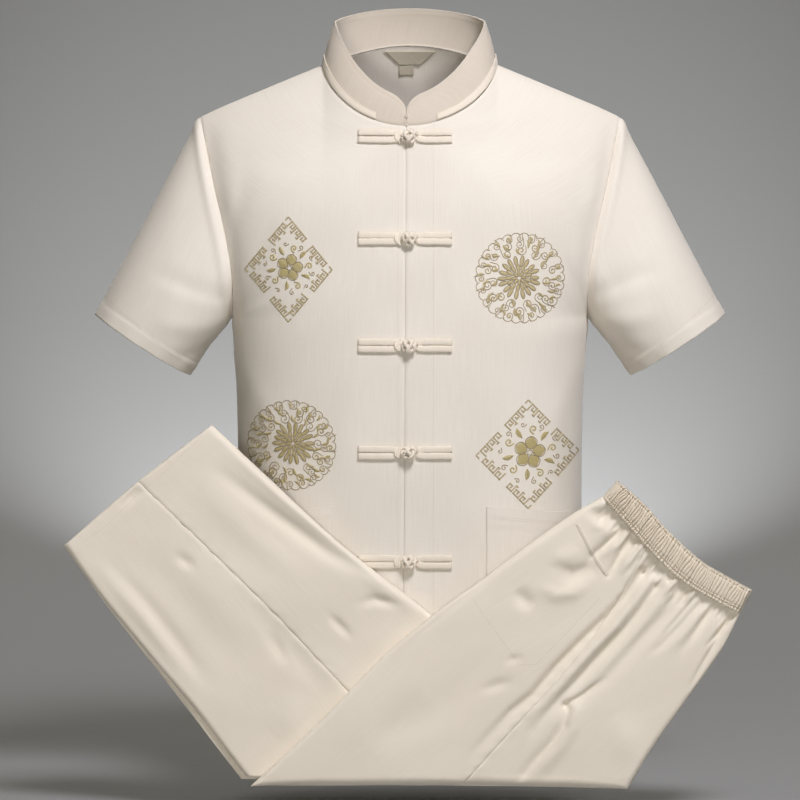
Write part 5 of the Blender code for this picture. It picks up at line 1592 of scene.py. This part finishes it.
def panel_grid(left, right, front_y, rolled, columns, rows, folds, seed, band=None, bottom=None, hem=None):
    """A trouser panel. bottom gives the shares of the crossing fold that it spans, hem the width of a turned hem."""
    first_rows = np.array([0.0, 0.002, 0.005, 0.01, 0.016, 0.023, 0.031]) if bottom else np.array([0.0])
    shares = np.concatenate([first_rows[:-1], np.linspace(first_rows[-1], 1.0, rows + 1)])
    a, b = edge_line(left, shares), edge_line(right, shares)
    width = np.linalg.norm(b - a, axis=1)
    length = math.dist(along(left, 0), along(left, 1))
    down = shares * length
    lines = []
    for i in range(len(shares)):
        start = ROLL_STEPS * ROLL_RADIUS if "start" in rolled else np.array([0.0, 0.8, 1.8, 3.2]) * MM
        end = ROLL_STEPS * ROLL_RADIUS if "end" in rolled else np.array([0.0, 0.8, 1.8, 3.2]) * MM
        inner = np.linspace(start[-1], width[i] - end[-1], columns + 1)
        lines.append(np.concatenate([start[:-1], inner, width[i] - end[:-1][::-1]]))
    far = np.array(lines)
    u = far / width[:, None]
    x = a[:, :1] + (b[:, :1] - a[:, :1]) * u
    z = a[:, 1:] + (b[:, 1:] - a[:, 1:]) * u
    v = np.repeat(shares[:, None], far.shape[1], axis=1)
    low = np.repeat(down[:, None], far.shape[1], axis=1)
    edge = np.full_like(far, 1.0)
    drop = np.zeros_like(far)
    if "start" in rolled:
        edge = np.minimum(edge, far)
        drop = np.maximum(drop, rolled_drop(far, ROLL_RADIUS))
    if "end" in rolled:
        edge = np.minimum(edge, width[:, None] - far)
        drop = np.maximum(drop, rolled_drop(width[:, None] - far, ROLL_RADIUS))
    fade = np.clip(edge / ROLL_RADIUS, 0.0, 1.0)
    if bottom:
        span = bottom[0] + (bottom[1] - bottom[0]) * u
        radius = bottom_radius(span, 0.42)
        drop = np.maximum(drop, rolled_drop(low * 0.72, radius))
        fade = fade * np.clip(low / (20 * MM), 0.0, 1.0)
    raised = relief(folds, x, z) * CREASE_DEPTH + slow_wave(x, z, seed, 0.15, 1.3 * MM)
    if band:
        share = band[0] + (band[1] - band[0]) * u
        pull = np.maximum((v - BAND_REACH) / (1 - BAND_REACH), 0.0) ** 2
        table = np.linspace(0, 1, 200)
        low_edge = edge_line(BAND_LOW, table)
        end_a, end_b = a[-1], b[-1]
        shift_x = np.interp(share, table, low_edge[:, 0]) - (end_a[0] + (end_b[0] - end_a[0]) * u)
        shift_z = np.interp(share, table, low_edge[:, 1]) - (end_a[1] + (end_b[1] - end_a[1]) * u)
        x, z = x + shift_x * pull, z + shift_z * pull
        raised = relief(folds, x, z) * CREASE_DEPTH + slow_wave(x, z, seed, 0.15, 1.3 * MM) + relief(GATHER_FOLDS, x, z)
        fade = fade * (1 - 0.55 * np.exp(-(length - low) / (3 * MM)))
    if hem:
        to_hem = length - low
        raised = raised + 0.5 * MM / (1 + np.exp((to_hem - hem) / (0.7 * MM)))
        raised = raised - 0.35 * MM * np.exp(-((to_hem - hem + 1.2 * MM) / (0.9 * MM)) ** 2)
    seam = far if "start" not in rolled else width[:, None] - far
    ripple = 0.35 * MM * np.sin(low / (4.2 * MM) + 1.7 * np.sin(low / (31 * MM))) * np.exp(-(seam / (7 * MM)) ** 2)
    raised = raised * fade - GROOVE_DEPTH * np.exp(-(seam / GROOVE_WIDTH) ** 2) + ripple * fade
    grid = np.stack([x, front_y - raised + drop, z], axis=2)
    under = []
    for turn in UNDER_TURNS:
        under.append((ROLL_RADIUS * (1 - math.sin(turn)), ROLL_RADIUS * (1 + math.cos(turn))))
    if "start" in rolled:
        way = (b - a) / width[:, None]
        extra = [np.stack([a[:, 0] + way[:, 0] * inset, np.full(len(a), front_y + depth), a[:, 1] + way[:, 1] * inset], axis=1)
                 for inset, depth in under[::-1]]
        grid = np.concatenate([np.stack(extra, axis=1), grid], axis=1)
    if "end" in rolled:
        way = (a - b) / width[:, None]
        extra = [np.stack([b[:, 0] + way[:, 0] * inset, np.full(len(b), front_y + depth), b[:, 1] + way[:, 1] * inset], axis=1)
                 for inset, depth in under]
        grid = np.concatenate([grid, np.stack(extra, axis=1)], axis=1)
    return grid


near_front_grid = panel_grid(NEAR_LEFT_EDGE, NEAR_SEAM, NEAR_Y, ("start",), 80, 150, NEAR_FOLDS, 3,
                             band=(0.0, SEAM_SHARE), bottom=(0.0, 0.556))
near_side_grid = panel_grid(NEAR_SEAM, NEAR_RIGHT_EDGE, NEAR_Y, ("end",), 90, 150, NEAR_FOLDS, 3,
                            band=(SEAM_SHARE, 1.0), bottom=(0.556, 1.0))
HEM_TURN = 19.0 * MM
far_lower_grid = panel_grid(FAR_LOWER_EDGE, FAR_SEAM, FAR_Y, ("start",), 60, 130, FAR_FOLDS, 5, hem=HEM_TURN)
far_upper_grid = panel_grid(FAR_SEAM, FAR_UPPER_EDGE, FAR_Y, ("end",), 60, 130, FAR_FOLDS, 5, hem=HEM_TURN)

near_front_grid = trimmed(near_front_grid, [(1, "last"), (0, "last")])
near_side_grid = trimmed(near_side_grid, [(1, "first"), (0, "last")])
far_lower_grid = trimmed(far_lower_grid, [(1, "last")])
far_upper_grid = trimmed(far_upper_grid, [(1, "first")])

trouser_pieces = {}
for name, grid in (("trousers_near_front", near_front_grid), ("trousers_near_back", near_side_grid),
                   ("trousers_far_lower", far_lower_grid), ("trousers_far_upper", far_upper_grid)):
    piece = cloth_piece(f"{name}_cloth", grid, TROUSER_CLOTH)
    face_outwards(piece, (grid[..., 0].mean(), 0.0, grid[..., 2].mean()))
    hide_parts(name)
    trouser_pieces[name] = (piece, grid)
print("trouser panels", {n: g.shape[:2] for n, (p, g) in trouser_pieces.items()})

# %% [markdown]
# Behind the top layer lie the other layers. Only their rounded edges and the lowest layer's back show, so
# they are one thick piece with a groove round its rim for each leg, and a flat back.

# %% Hidden layers
def outline_loop(sides, count):
    """Points round an outline whose sides are polylines in order."""
    loop = []
    for points in sides:
        loop += [along(points, k / count) for k in range(count)]
    return np.array(loop)


def inset_loop(loop, distance):
    """The outline moved in by a distance."""
    nxt, prv = np.roll(loop, -1, axis=0), np.roll(loop, 1, axis=0)
    area = (loop[:, 0] * nxt[:, 1] - nxt[:, 0] * loop[:, 1]).sum()
    way = 1.0 if area > 0 else -1.0
    a = loop - prv
    b = nxt - loop
    a /= np.linalg.norm(a, axis=1, keepdims=True)
    b /= np.linalg.norm(b, axis=1, keepdims=True)
    inward = way * (np.stack([-a[:, 1], a[:, 0]], axis=1) + np.stack([-b[:, 1], b[:, 0]], axis=1))
    size = np.linalg.norm(inward, axis=1, keepdims=True)
    return loop + inward / size * distance / np.maximum(size / 2, 0.5)


LAYER_STEP = 0.6 * MM
CORE_TUCK = 4.4 * MM


def layered_piece(name, sides, front_y, back_y, folds, seed):
    """The hidden layers of one part: stacked outlines at the rim, a flat capped back."""
    loop = outline_loop(sides, 60)
    middle = front_y + ROLL_RADIUS
    depth = (back_y - middle) / 2
    profile = [(front_y + 9.5 * MM, ROLL_RADIUS + 1.0 * MM), (middle - 0.5 * MM, 3.2 * MM)]
    for layer in range(2):
        start = middle + depth * layer
        for share, inset in ((0.03, 1.7), (0.12, 0.7), (0.3, 0.1), (0.5, 0.0), (0.7, 0.1), (0.88, 0.7), (0.97, 1.7)):
            profile.append((start + share * depth, LAYER_STEP * layer + inset * MM))
    verts, uvs, faces = [], [], []
    around_run = np.concatenate([[0.0], np.cumsum(np.linalg.norm(np.diff(loop, axis=0), axis=1))])
    count = len(loop)
    for y, inset in profile:
        wobble = 0.0006 * np.sin(around_run / 0.027 + y * 900) + 0.0004 * np.sin(around_run / 0.011 + y * 1700)
        ring = inset_loop(loop, inset)
        for k, (x, z) in enumerate(ring):
            verts.append((x, y + wobble[k], z))
            uvs.append((around_run[k], y))
    for i in range(len(profile) - 1):
        for k in range(count):
            n = (k + 1) % count
            faces.append((i * count + k, i * count + n, (i + 1) * count + n, (i + 1) * count + k))
    piece_mesh = bpy.data.meshes.new(name)
    bm = bmesh.new()
    made = [bm.verts.new(v) for v in verts]
    for quad in faces:
        bm.faces.new([made[i] for i in quad])
    for first, y in ((0, None), ((len(profile) - 1) * count, back_y)):
        cap = bm.faces.new(made[first:first + count])
        bmesh.ops.triangulate(bm, faces=[cap])
    bmesh.ops.recalc_face_normals(bm, faces=bm.faces)
    bm.to_mesh(piece_mesh)
    bm.free()
    points = [tuple(v.co) for v in piece_mesh.vertices]
    polygons = [tuple(p.vertices) for p in piece_mesh.polygons]
    bpy.data.meshes.remove(piece_mesh)
    flat_uvs = [(p[0], p[2]) for p in points]
    piece = mesh_object(name, points, polygons, flat_uvs, TROUSER_CLOTH)
    return piece


near_sides = [NEAR_LEFT_EDGE, BAND_LOW, NEAR_RIGHT_EDGE[::-1], [NEAR_RIGHT_EDGE[0], NEAR_SEAM[0], NEAR_LEFT_EDGE[0]]]
FAR_UNDER_EDGE = [Point(-189, -798), Point(-240, -731), Point(-293, -662), Point(-338, -604), Point(-387, -536)]
far_sides = [FAR_UNDER_EDGE, [FAR_LOWER_EDGE[-1], FAR_SEAM[-1], FAR_UPPER_EDGE[-1]], FAR_UPPER_EDGE[::-1],
             [FAR_UPPER_EDGE[0], FAR_SEAM[0], FAR_UNDER_EDGE[0]]]
near_layers = layered_piece("trousers_near_layers_cloth", near_sides, NEAR_Y, NEAR_BACK_Y, NEAR_FOLDS, 11)
far_layers = layered_piece("trousers_far_layers_cloth", far_sides, FAR_Y, PACK_BACK_Y, FAR_FOLDS, 12)
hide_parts("trousers_near_layers")
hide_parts("trousers_far_layers")
print("hidden layers", len(near_layers.data.polygons) + len(far_layers.data.polygons), "faces")

# %% [markdown]
# The waistband is a casing over wide elastic. The elastic draws the cloth up into ribs of 3 to 6 mm, round
# on top with narrow valleys. Rows of stitching hold it near the bottom and the top, where it is pinched.

# %% Waistband
BAND_RIBS = 60
BAND_THICKNESS = 1.4 * MM
BAND_SWELL = 2.8 * MM
RIB_HEIGHT = 3.4 * MM


def rib_lines(seed, count):
    """Uneven rib borders along the band and a height for each rib."""
    draw = random.Random(seed)
    widths = [draw.uniform(0.62, 1.38) for _ in range(count)]
    borders = np.concatenate([[0.0], np.cumsum(widths)]) / sum(widths)
    heights = [draw.uniform(0.6, 1.2) * (1.15 if border < 0.5 else 0.75) for border in borders[:-1]]
    return borders, heights


def band_grid(seed, wall_y, way, columns, rows):
    """Half of the waistband: ribs across it, pinched at the stitch rows, rolled at both ends."""
    borders, heights = rib_lines(seed, BAND_RIBS)
    shares = np.linspace(0, 1, columns + 1)
    low, high = edge_line(BAND_LOW, shares), edge_line(BAND_TOP, shares)
    length = math.dist(along(BAND_TOP, 0), along(BAND_TOP, 1)) * 1.02
    far = shares * length
    drop = np.maximum(rolled_drop(far, ROLL_RADIUS), rolled_drop(length - far, ROLL_RADIUS))
    fade = np.clip(np.minimum(far, length - far) / ROLL_RADIUS, 0.0, 1.0)
    lines = []
    for v in np.linspace(0, 1, rows + 1):
        sway = 0.0045 * math.sin(3.1 * v + 0.5) * np.sin(shares * 23.0) + 0.0022 * np.sin(shares * 61 + 7 * v)
        at = np.clip(shares + sway, 0.0, 1.0)
        rib = np.clip(np.searchsorted(borders, at, side="right") - 1, 0, BAND_RIBS - 1)
        local = (at - borders[rib]) / (borders[rib + 1] - borders[rib])
        bump = np.sin(np.pi * np.clip(local, 0, 1)) ** 0.75 * np.array(heights)[rib]
        pinch = max(0.8 * math.exp(-((v - 0.13) / 0.03) ** 2), 0.6 * math.exp(-((v - 0.24) / 0.02) ** 2),
                    0.8 * math.exp(-((v - 0.90) / 0.03) ** 2))
        body = math.sin(math.pi * min(max(v, 0.0), 1.0)) ** 0.45
        out = (0.4 * MM + BAND_SWELL * body * (1 - 0.4 * pinch) + RIB_HEIGHT * bump * (1 - 0.62 * pinch)) * fade
        ruffle = 0.9 * MM * math.exp(-((v - 1.0) / 0.07) ** 2) * np.sin(far / (1.35 * MM) + 2 * np.sin(far / (9 * MM)))
        x = low[:, 0] + (high[:, 0] - low[:, 0]) * v
        z = low[:, 1] + (high[:, 1] - low[:, 1]) * v
        lines.append(np.stack([x, wall_y - way * (out + ruffle * fade - drop), z], axis=1))
    return np.array(lines)


band_grids = {"waistband_near": band_grid(31, NEAR_Y, 1.0, 500, 40),
              "waistband_far": band_grid(32, NEAR_BACK_Y, -1.0, 400, 20)}
band_pieces = {}
for name, grid in band_grids.items():
    piece = cloth_piece(f"{name}_cloth", grid, BAND_CLOTH, thickness=BAND_THICKNESS)
    face_outwards(piece, (grid[..., 0].mean(), (NEAR_Y + NEAR_BACK_Y) / 2, grid[..., 2].mean()))
    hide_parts(name)
    band_pieces[name] = (piece, grid)
print("waistband", {n: g.shape[:2] for n, g in band_grids.items()})

# %% [markdown]
# The slanted side pocket ends in a folded lip.

# %% Pocket lip
MOUTH_WIDTH = 3.6 * MM
LIP = 0.8 * MM
bpy.context.view_layer.update()
near_tree = tree_of(trouser_pieces["trousers_near_front"][0], trouser_pieces["trousers_near_back"][0])


def lip_grid():
    """A narrow folded edge along the mouth of the pocket, its lower left side standing up."""
    shares = np.linspace(0, 1, 40)
    centre = edge_line(POCKET_MOUTH, shares)
    run = np.gradient(centre, axis=0)
    run /= np.linalg.norm(run, axis=1, keepdims=True)
    across = np.stack([run[:, 1], -run[:, 0]], axis=1)
    steps = np.linspace(-0.5, 0.5, 12)
    xs = centre[:, :1] + across[:, :1] * steps[None, :] * MOUTH_WIDTH
    zs = centre[:, 1:] + across[:, 1:] * steps[None, :] * MOUTH_WIDTH
    ends = np.sin(np.pi * np.clip(shares, 0.02, 0.98)) ** 0.4
    lift = 0.3 * MM + LIP + (0.5 * MM * np.exp(-((steps + 0.2) / 0.3) ** 2))[None, :] * ends[:, None]
    return laid_grid(near_tree, xs, zs, lift)[0]


mouth_grid = lip_grid()
lip = cloth_piece("trousers_pocket_edge_cloth", mouth_grid, TROUSER_CLOTH, thickness=LIP)
face_outwards(lip, (mouth_grid[..., 0].mean(), 0.0, mouth_grid[..., 2].mean()))
rounded(lip, 0.3 * MM)
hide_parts("trousers_pocket_edge")
print("pocket lip", mouth_grid.shape)

# %% [markdown]
# Lockstitch holds every seam edge. A stitch is a short plump thread with its ends sunk in the cloth. One
# node tree sets a stitch on each seat: a point on the cloth with the way of the row and the way out of the
# cloth. Geometry Nodes suits it, because two thousand stitches share one shape.

# %% Stitch node tree
STITCH_PITCH = 2.9 * MM
STITCH_LENGTH = 2.2 * MM
STITCH_WIDTH = 0.55 * MM


def stitch_tree():
    """Node tree: a thread lozenge on each point, turned along the row and slightly uneven."""
    tree = bpy.data.node_groups.new("stitches", "GeometryNodeTree")
    face = tree.interface
    face.new_socket("Seats", in_out="INPUT", socket_type="NodeSocketGeometry")
    for title in ("Length", "Width"):
        face.new_socket(title, in_out="INPUT", socket_type="NodeSocketFloat")
    face.new_socket("Thread", in_out="INPUT", socket_type="NodeSocketMaterial")
    face.new_socket("Stitches", in_out="OUTPUT", socket_type="NodeSocketGeometry")
    seats = tree.nodes.new("NodeGroupInput")
    ball = put(tree, "GeometryNodeMeshUVSphere", {"Segments": 6, "Rings": 4, "Radius": 0.5})
    run = put(tree, "GeometryNodeInputNamedAttribute", {"Name": "run"}, data_type="FLOAT_VECTOR")
    out = put(tree, "GeometryNodeInputNamedAttribute", {"Name": "out"}, data_type="FLOAT_VECTOR")
    turn = put(tree, "FunctionNodeAlignRotationToVector", {"Vector": run.outputs[0]}, axis="X")
    roll = put(tree, "FunctionNodeAlignRotationToVector", {"Rotation": turn.outputs[0], "Vector": out.outputs[0]},
               axis="Z", pivot_axis="X")
    uneven = put(tree, "FunctionNodeRandomValue", {2: 0.86, 3: 1.1, "Seed": 5})
    length = put(tree, "ShaderNodeMath", {0: seats.outputs["Length"], 1: uneven.outputs[1]}, operation="MULTIPLY")
    height = put(tree, "ShaderNodeMath", {0: seats.outputs["Width"], 1: 0.7}, operation="MULTIPLY")
    size = put(tree, "ShaderNodeCombineXYZ", {0: length.outputs[0], 1: seats.outputs["Width"], 2: height.outputs[0]})
    placed = put(tree, "GeometryNodeInstanceOnPoints", {"Points": seats.outputs["Seats"], "Instance": ball.outputs[0],
                                                        "Rotation": roll.outputs[0], "Scale": size.outputs[0]})
    real = put(tree, "GeometryNodeRealizeInstances", {"Geometry": placed.outputs[0]})
    smooth = put(tree, "GeometryNodeSetShadeSmooth", {"Geometry": real.outputs[0]})
    painted = put(tree, "GeometryNodeSetMaterial", {"Geometry": smooth.outputs[0], "Material": seats.outputs["Thread"]})
    put(tree, "NodeGroupOutput", {0: painted.outputs[0]})
    return tree


STITCH_TREE = stitch_tree()


def seats_along(points, normals, lift=0.1 * MM):
    """Stitch seats at even steps on a line of points: place, way of the row, way out."""
    points, normals = np.asarray(points, dtype=float), np.asarray(normals, dtype=float)
    run = np.concatenate([[0.0], np.cumsum(np.linalg.norm(np.diff(points, axis=0), axis=1))])
    count = max(int(run[-1] / STITCH_PITCH), 2)
    at = (np.arange(count) + 0.5) * run[-1] / count
    place = np.stack([np.interp(at, run, points[:, c]) for c in range(3)], axis=1)
    way = np.stack([np.interp(at + 0.4 * MM, run, points[:, c]) - np.interp(at - 0.4 * MM, run, points[:, c])
                    for c in range(3)], axis=1)
    out = np.stack([np.interp(at, run, normals[:, c]) for c in range(3)], axis=1)
    out /= np.linalg.norm(out, axis=1, keepdims=True)
    return list(zip(place + out * lift, way, out))


def seats_dropped(tree, corners, start_y=-1.0):
    """Seats along straight rows in the front view, dropped onto the cloth. corners are in millimetres."""
    seats = []
    for (ax, az), (bx, bz) in zip(corners, corners[1:]):
        count = max(int(math.hypot(bx - ax, bz - az) / 1.5), 2)
        points, normals = [], []
        for t in np.linspace(0, 1, count):
            hit, normal = drop_on(tree, (ax + (bx - ax) * t) * MM, (az + (bz - az) * t) * MM, start_y)
            if hit is not None:
                points.append(hit)
                normals.append(normal)
        if len(points) > 2:
            seats += seats_along(points, normals)
    return seats


def stitched(name, seats, width=STITCH_WIDTH):
    """Real stitches from a list of seats."""
    mesh = bpy.data.meshes.new(name + "_seats")
    mesh.from_pydata([tuple(seat[0]) for seat in seats], [], [])
    for title, column in (("run", 1), ("out", 2)):
        field = mesh.attributes.new(title, "FLOAT_VECTOR", "POINT")
        field.data.foreach_set("vector", np.array([seat[column] for seat in seats], dtype=np.float32).ravel())
    piece = bpy.data.objects.new(name, mesh)
    bpy.context.scene.collection.objects.link(piece)
    sewing = piece.modifiers.new("stitches", "NODES")
    sewing.node_group = STITCH_TREE
    sockets = {item.name: item.identifier for item in STITCH_TREE.interface.items_tree if item.in_out == "INPUT"}
    sewing[sockets["Length"]] = STITCH_LENGTH
    sewing[sockets["Width"]] = width
    sewing[sockets["Thread"]] = SEWING_THREAD
    bpy.context.view_layer.update()
    graph = bpy.context.evaluated_depsgraph_get()
    real = bpy.data.meshes.new_from_object(piece.evaluated_get(graph), depsgraph=graph)
    piece.modifiers.remove(sewing)
    piece.data = real
    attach(piece, "root")
    made_pieces.append(name)
    return piece


# %% [markdown]
# The rows: near the pocket edges and double on the turned pocket tops, along the centre front, round the
# cuffs, near the collar's rim, on both edges of the collar strip, across the trouser hem, round the pocket bag
# that is caught through the trousers from behind, and two rows on each waistband.

# %% Stitch rows
EDGE_ROW = 1.6
CUFF_HEM = 16.0 * MM
BAG_ROW = [(70, -592), (84, -614), (122, -666), (140, -666), (148, -658), (211, -592)]
HEM_ROW = [(-363, -530), (-334, -508), (-301, -475), (-268, -448), (-232, -411)]


def grid_row(points, index):
    """Seats along one row of a grid."""
    normals = grid_normals(points)
    middle = points.mean(axis=(0, 1))
    if (normals * (points - middle)).sum() < 0:
        normals = -normals
    return seats_along(points[index], normals[index])


bpy.context.view_layer.update()
front_rows = {-1: [], 1: []}
for side, place in ((-1, -13.5), (1, 26.0)):
    rows = [(place, -62.0 - 4.0 * (side > 0)), (place, -640.0)]
    front_rows[side] += seats_dropped(tree_of(front_pieces[side]), rows)
pocket_rows = {}
for side, (piece, grid) in pocket_pieces.items():
    x0, x1 = side * (POCKET_INNER_X / MM), side * (POCKET_OUTER_X / MM)
    top0 = POCKET_TOP_Z / MM
    top1 = top0 - POCKET_SLANT * abs(x1 - x0)
    low = POCKET_BOTTOM_Z / MM + EDGE_ROW
    in0, in1 = x0 + side * EDGE_ROW, x1 - side * EDGE_ROW
    pocket_tree = tree_of(piece)
    pocket_rows[side] = seats_dropped(pocket_tree, [(in0, top0 - 1), (in0, low), (in1, low), (in1, top1 - 1)])
    for depth in (11.0, 13.4):
        pocket_rows[side] += seats_dropped(pocket_tree, [(in0 + side * 2, top0 - depth), (in1 - side * 2, top1 - depth)])
cuff_rows = {}
for side in (-1, 1):
    grid = sleeve_points[side]
    hem_end = 0 if abs(grid[0][:, 0]).mean() > abs(grid[-1][:, 0]).mean() else -1
    away = [float(np.linalg.norm(row - grid[hem_end], axis=1).mean()) for row in grid]
    row = int(np.argmin(np.abs(np.array(away) - CUFF_HEM)))
    ring = np.concatenate([grid, grid[:, :1]], axis=1)
    cuff_rows[side] = grid_row(ring, row)
collar_rows = []
rim_line = [int(np.argmin(np.abs(down_rim[:, k] - 6 * MM))) for k in range(collar_grid.shape[1])]
rim_points = np.array([collar_grid[r, k] for k, r in enumerate(rim_line)])
rim_normals = np.array([collar_normals[r, k] for k, r in enumerate(rim_line)])
collar_rows += seats_along(rim_points, rim_normals)
strip_seats = grid_row(strip_grid, 1) + grid_row(strip_grid, -2)
trouser_rows = {name: [] for name in trouser_pieces}
trouser_trees = {name: tree_of(piece) for name, (piece, grid) in trouser_pieces.items()}
trouser_rows["trousers_near_front"] = seats_dropped(trouser_trees["trousers_near_front"], BAG_ROW)
for name in ("trousers_far_lower", "trousers_far_upper"):
    trouser_rows[name] = seats_dropped(trouser_trees[name], HEM_ROW)
band_rows = {}
for name, (piece, grid) in band_pieces.items():
    rows = len(grid) - 1
    band_rows[name] = grid_row(grid, round(rows * 0.13)) + grid_row(grid, round(rows * 0.90))

stitch_pieces = {}
for name, seats in (("stitches_front_right", front_rows[-1]), ("stitches_front_left", front_rows[1]),
                    ("stitches_pocket_right", pocket_rows[-1]), ("stitches_pocket_left", pocket_rows[1]),
                    ("stitches_cuff_right", cuff_rows[-1]), ("stitches_cuff_left", cuff_rows[1]),
                    ("stitches_collar", collar_rows), ("stitches_strip", strip_seats),
                    ("stitches_bag", trouser_rows["trousers_near_front"]),
                    ("stitches_hem_lower", trouser_rows["trousers_far_lower"]),
                    ("stitches_hem_upper", trouser_rows["trousers_far_upper"]),
                    ("stitches_band_near", band_rows["waistband_near"]),
                    ("stitches_band_far", band_rows["waistband_far"])):
    stitch_pieces[name] = stitched(name, seats)
print("stitches", {name: len(piece.data.polygons) // 24 for name, piece in stitch_pieces.items()})

# %% [markdown]
# Every cloth piece is passed with its finished grids to state_sheet, which only puts the grids into a list.

for side in (-1, 1):
    state_sheet(front_pieces[side], front_grids[side], "draped",
                with_pieces=frog_pieces[side] + motif_pieces[side] + [stitch_pieces[f"stitches_front_{SIDE_NAMES[side]}"]])
    ring = np.concatenate([sleeve_points[side], sleeve_points[side][:, :1]], axis=1)
    state_sheet(sleeve_pieces[side], ring, "draped", with_pieces=[stitch_pieces[f"stitches_cuff_{SIDE_NAMES[side]}"]])
    state_sheet(*pocket_pieces[side], "laid", rests_on=[front_pieces[side]],
                with_pieces=[stitch_pieces[f"stitches_pocket_{SIDE_NAMES[side]}"]])
state_sheet(back_piece, back_grids, "draped")
state_sheet(collar, collar_grid, "stretched", with_pieces=[stitch_pieces["stitches_collar"]])
state_sheet(strip, strip_grid, "laid", rests_on=[collar], with_pieces=[stitch_pieces["stitches_strip"]])
for name, piece in label_pieces.items():
    state_sheet(piece, label_grids[name], "laid", rests_on=[back_piece])
for name, (piece, grid) in trouser_pieces.items():
    held = [stitch_pieces[title] for title, panel in (("stitches_bag", "trousers_near_front"),
            ("stitches_hem_lower", "trousers_far_lower"), ("stitches_hem_upper", "trousers_far_upper")) if panel == name]
    state_sheet(piece, grid, "folded", rests_on=[near_layers if "near" in name else far_layers], with_pieces=held)
for name, (piece, grid) in band_pieces.items():
    state_sheet(piece, grid, "gathered", with_pieces=[stitch_pieces[name.replace("waistband", "stitches_band")]])
state_sheet(lip, mouth_grid, "laid", rests_on=[trouser_pieces["trousers_near_front"][0]])
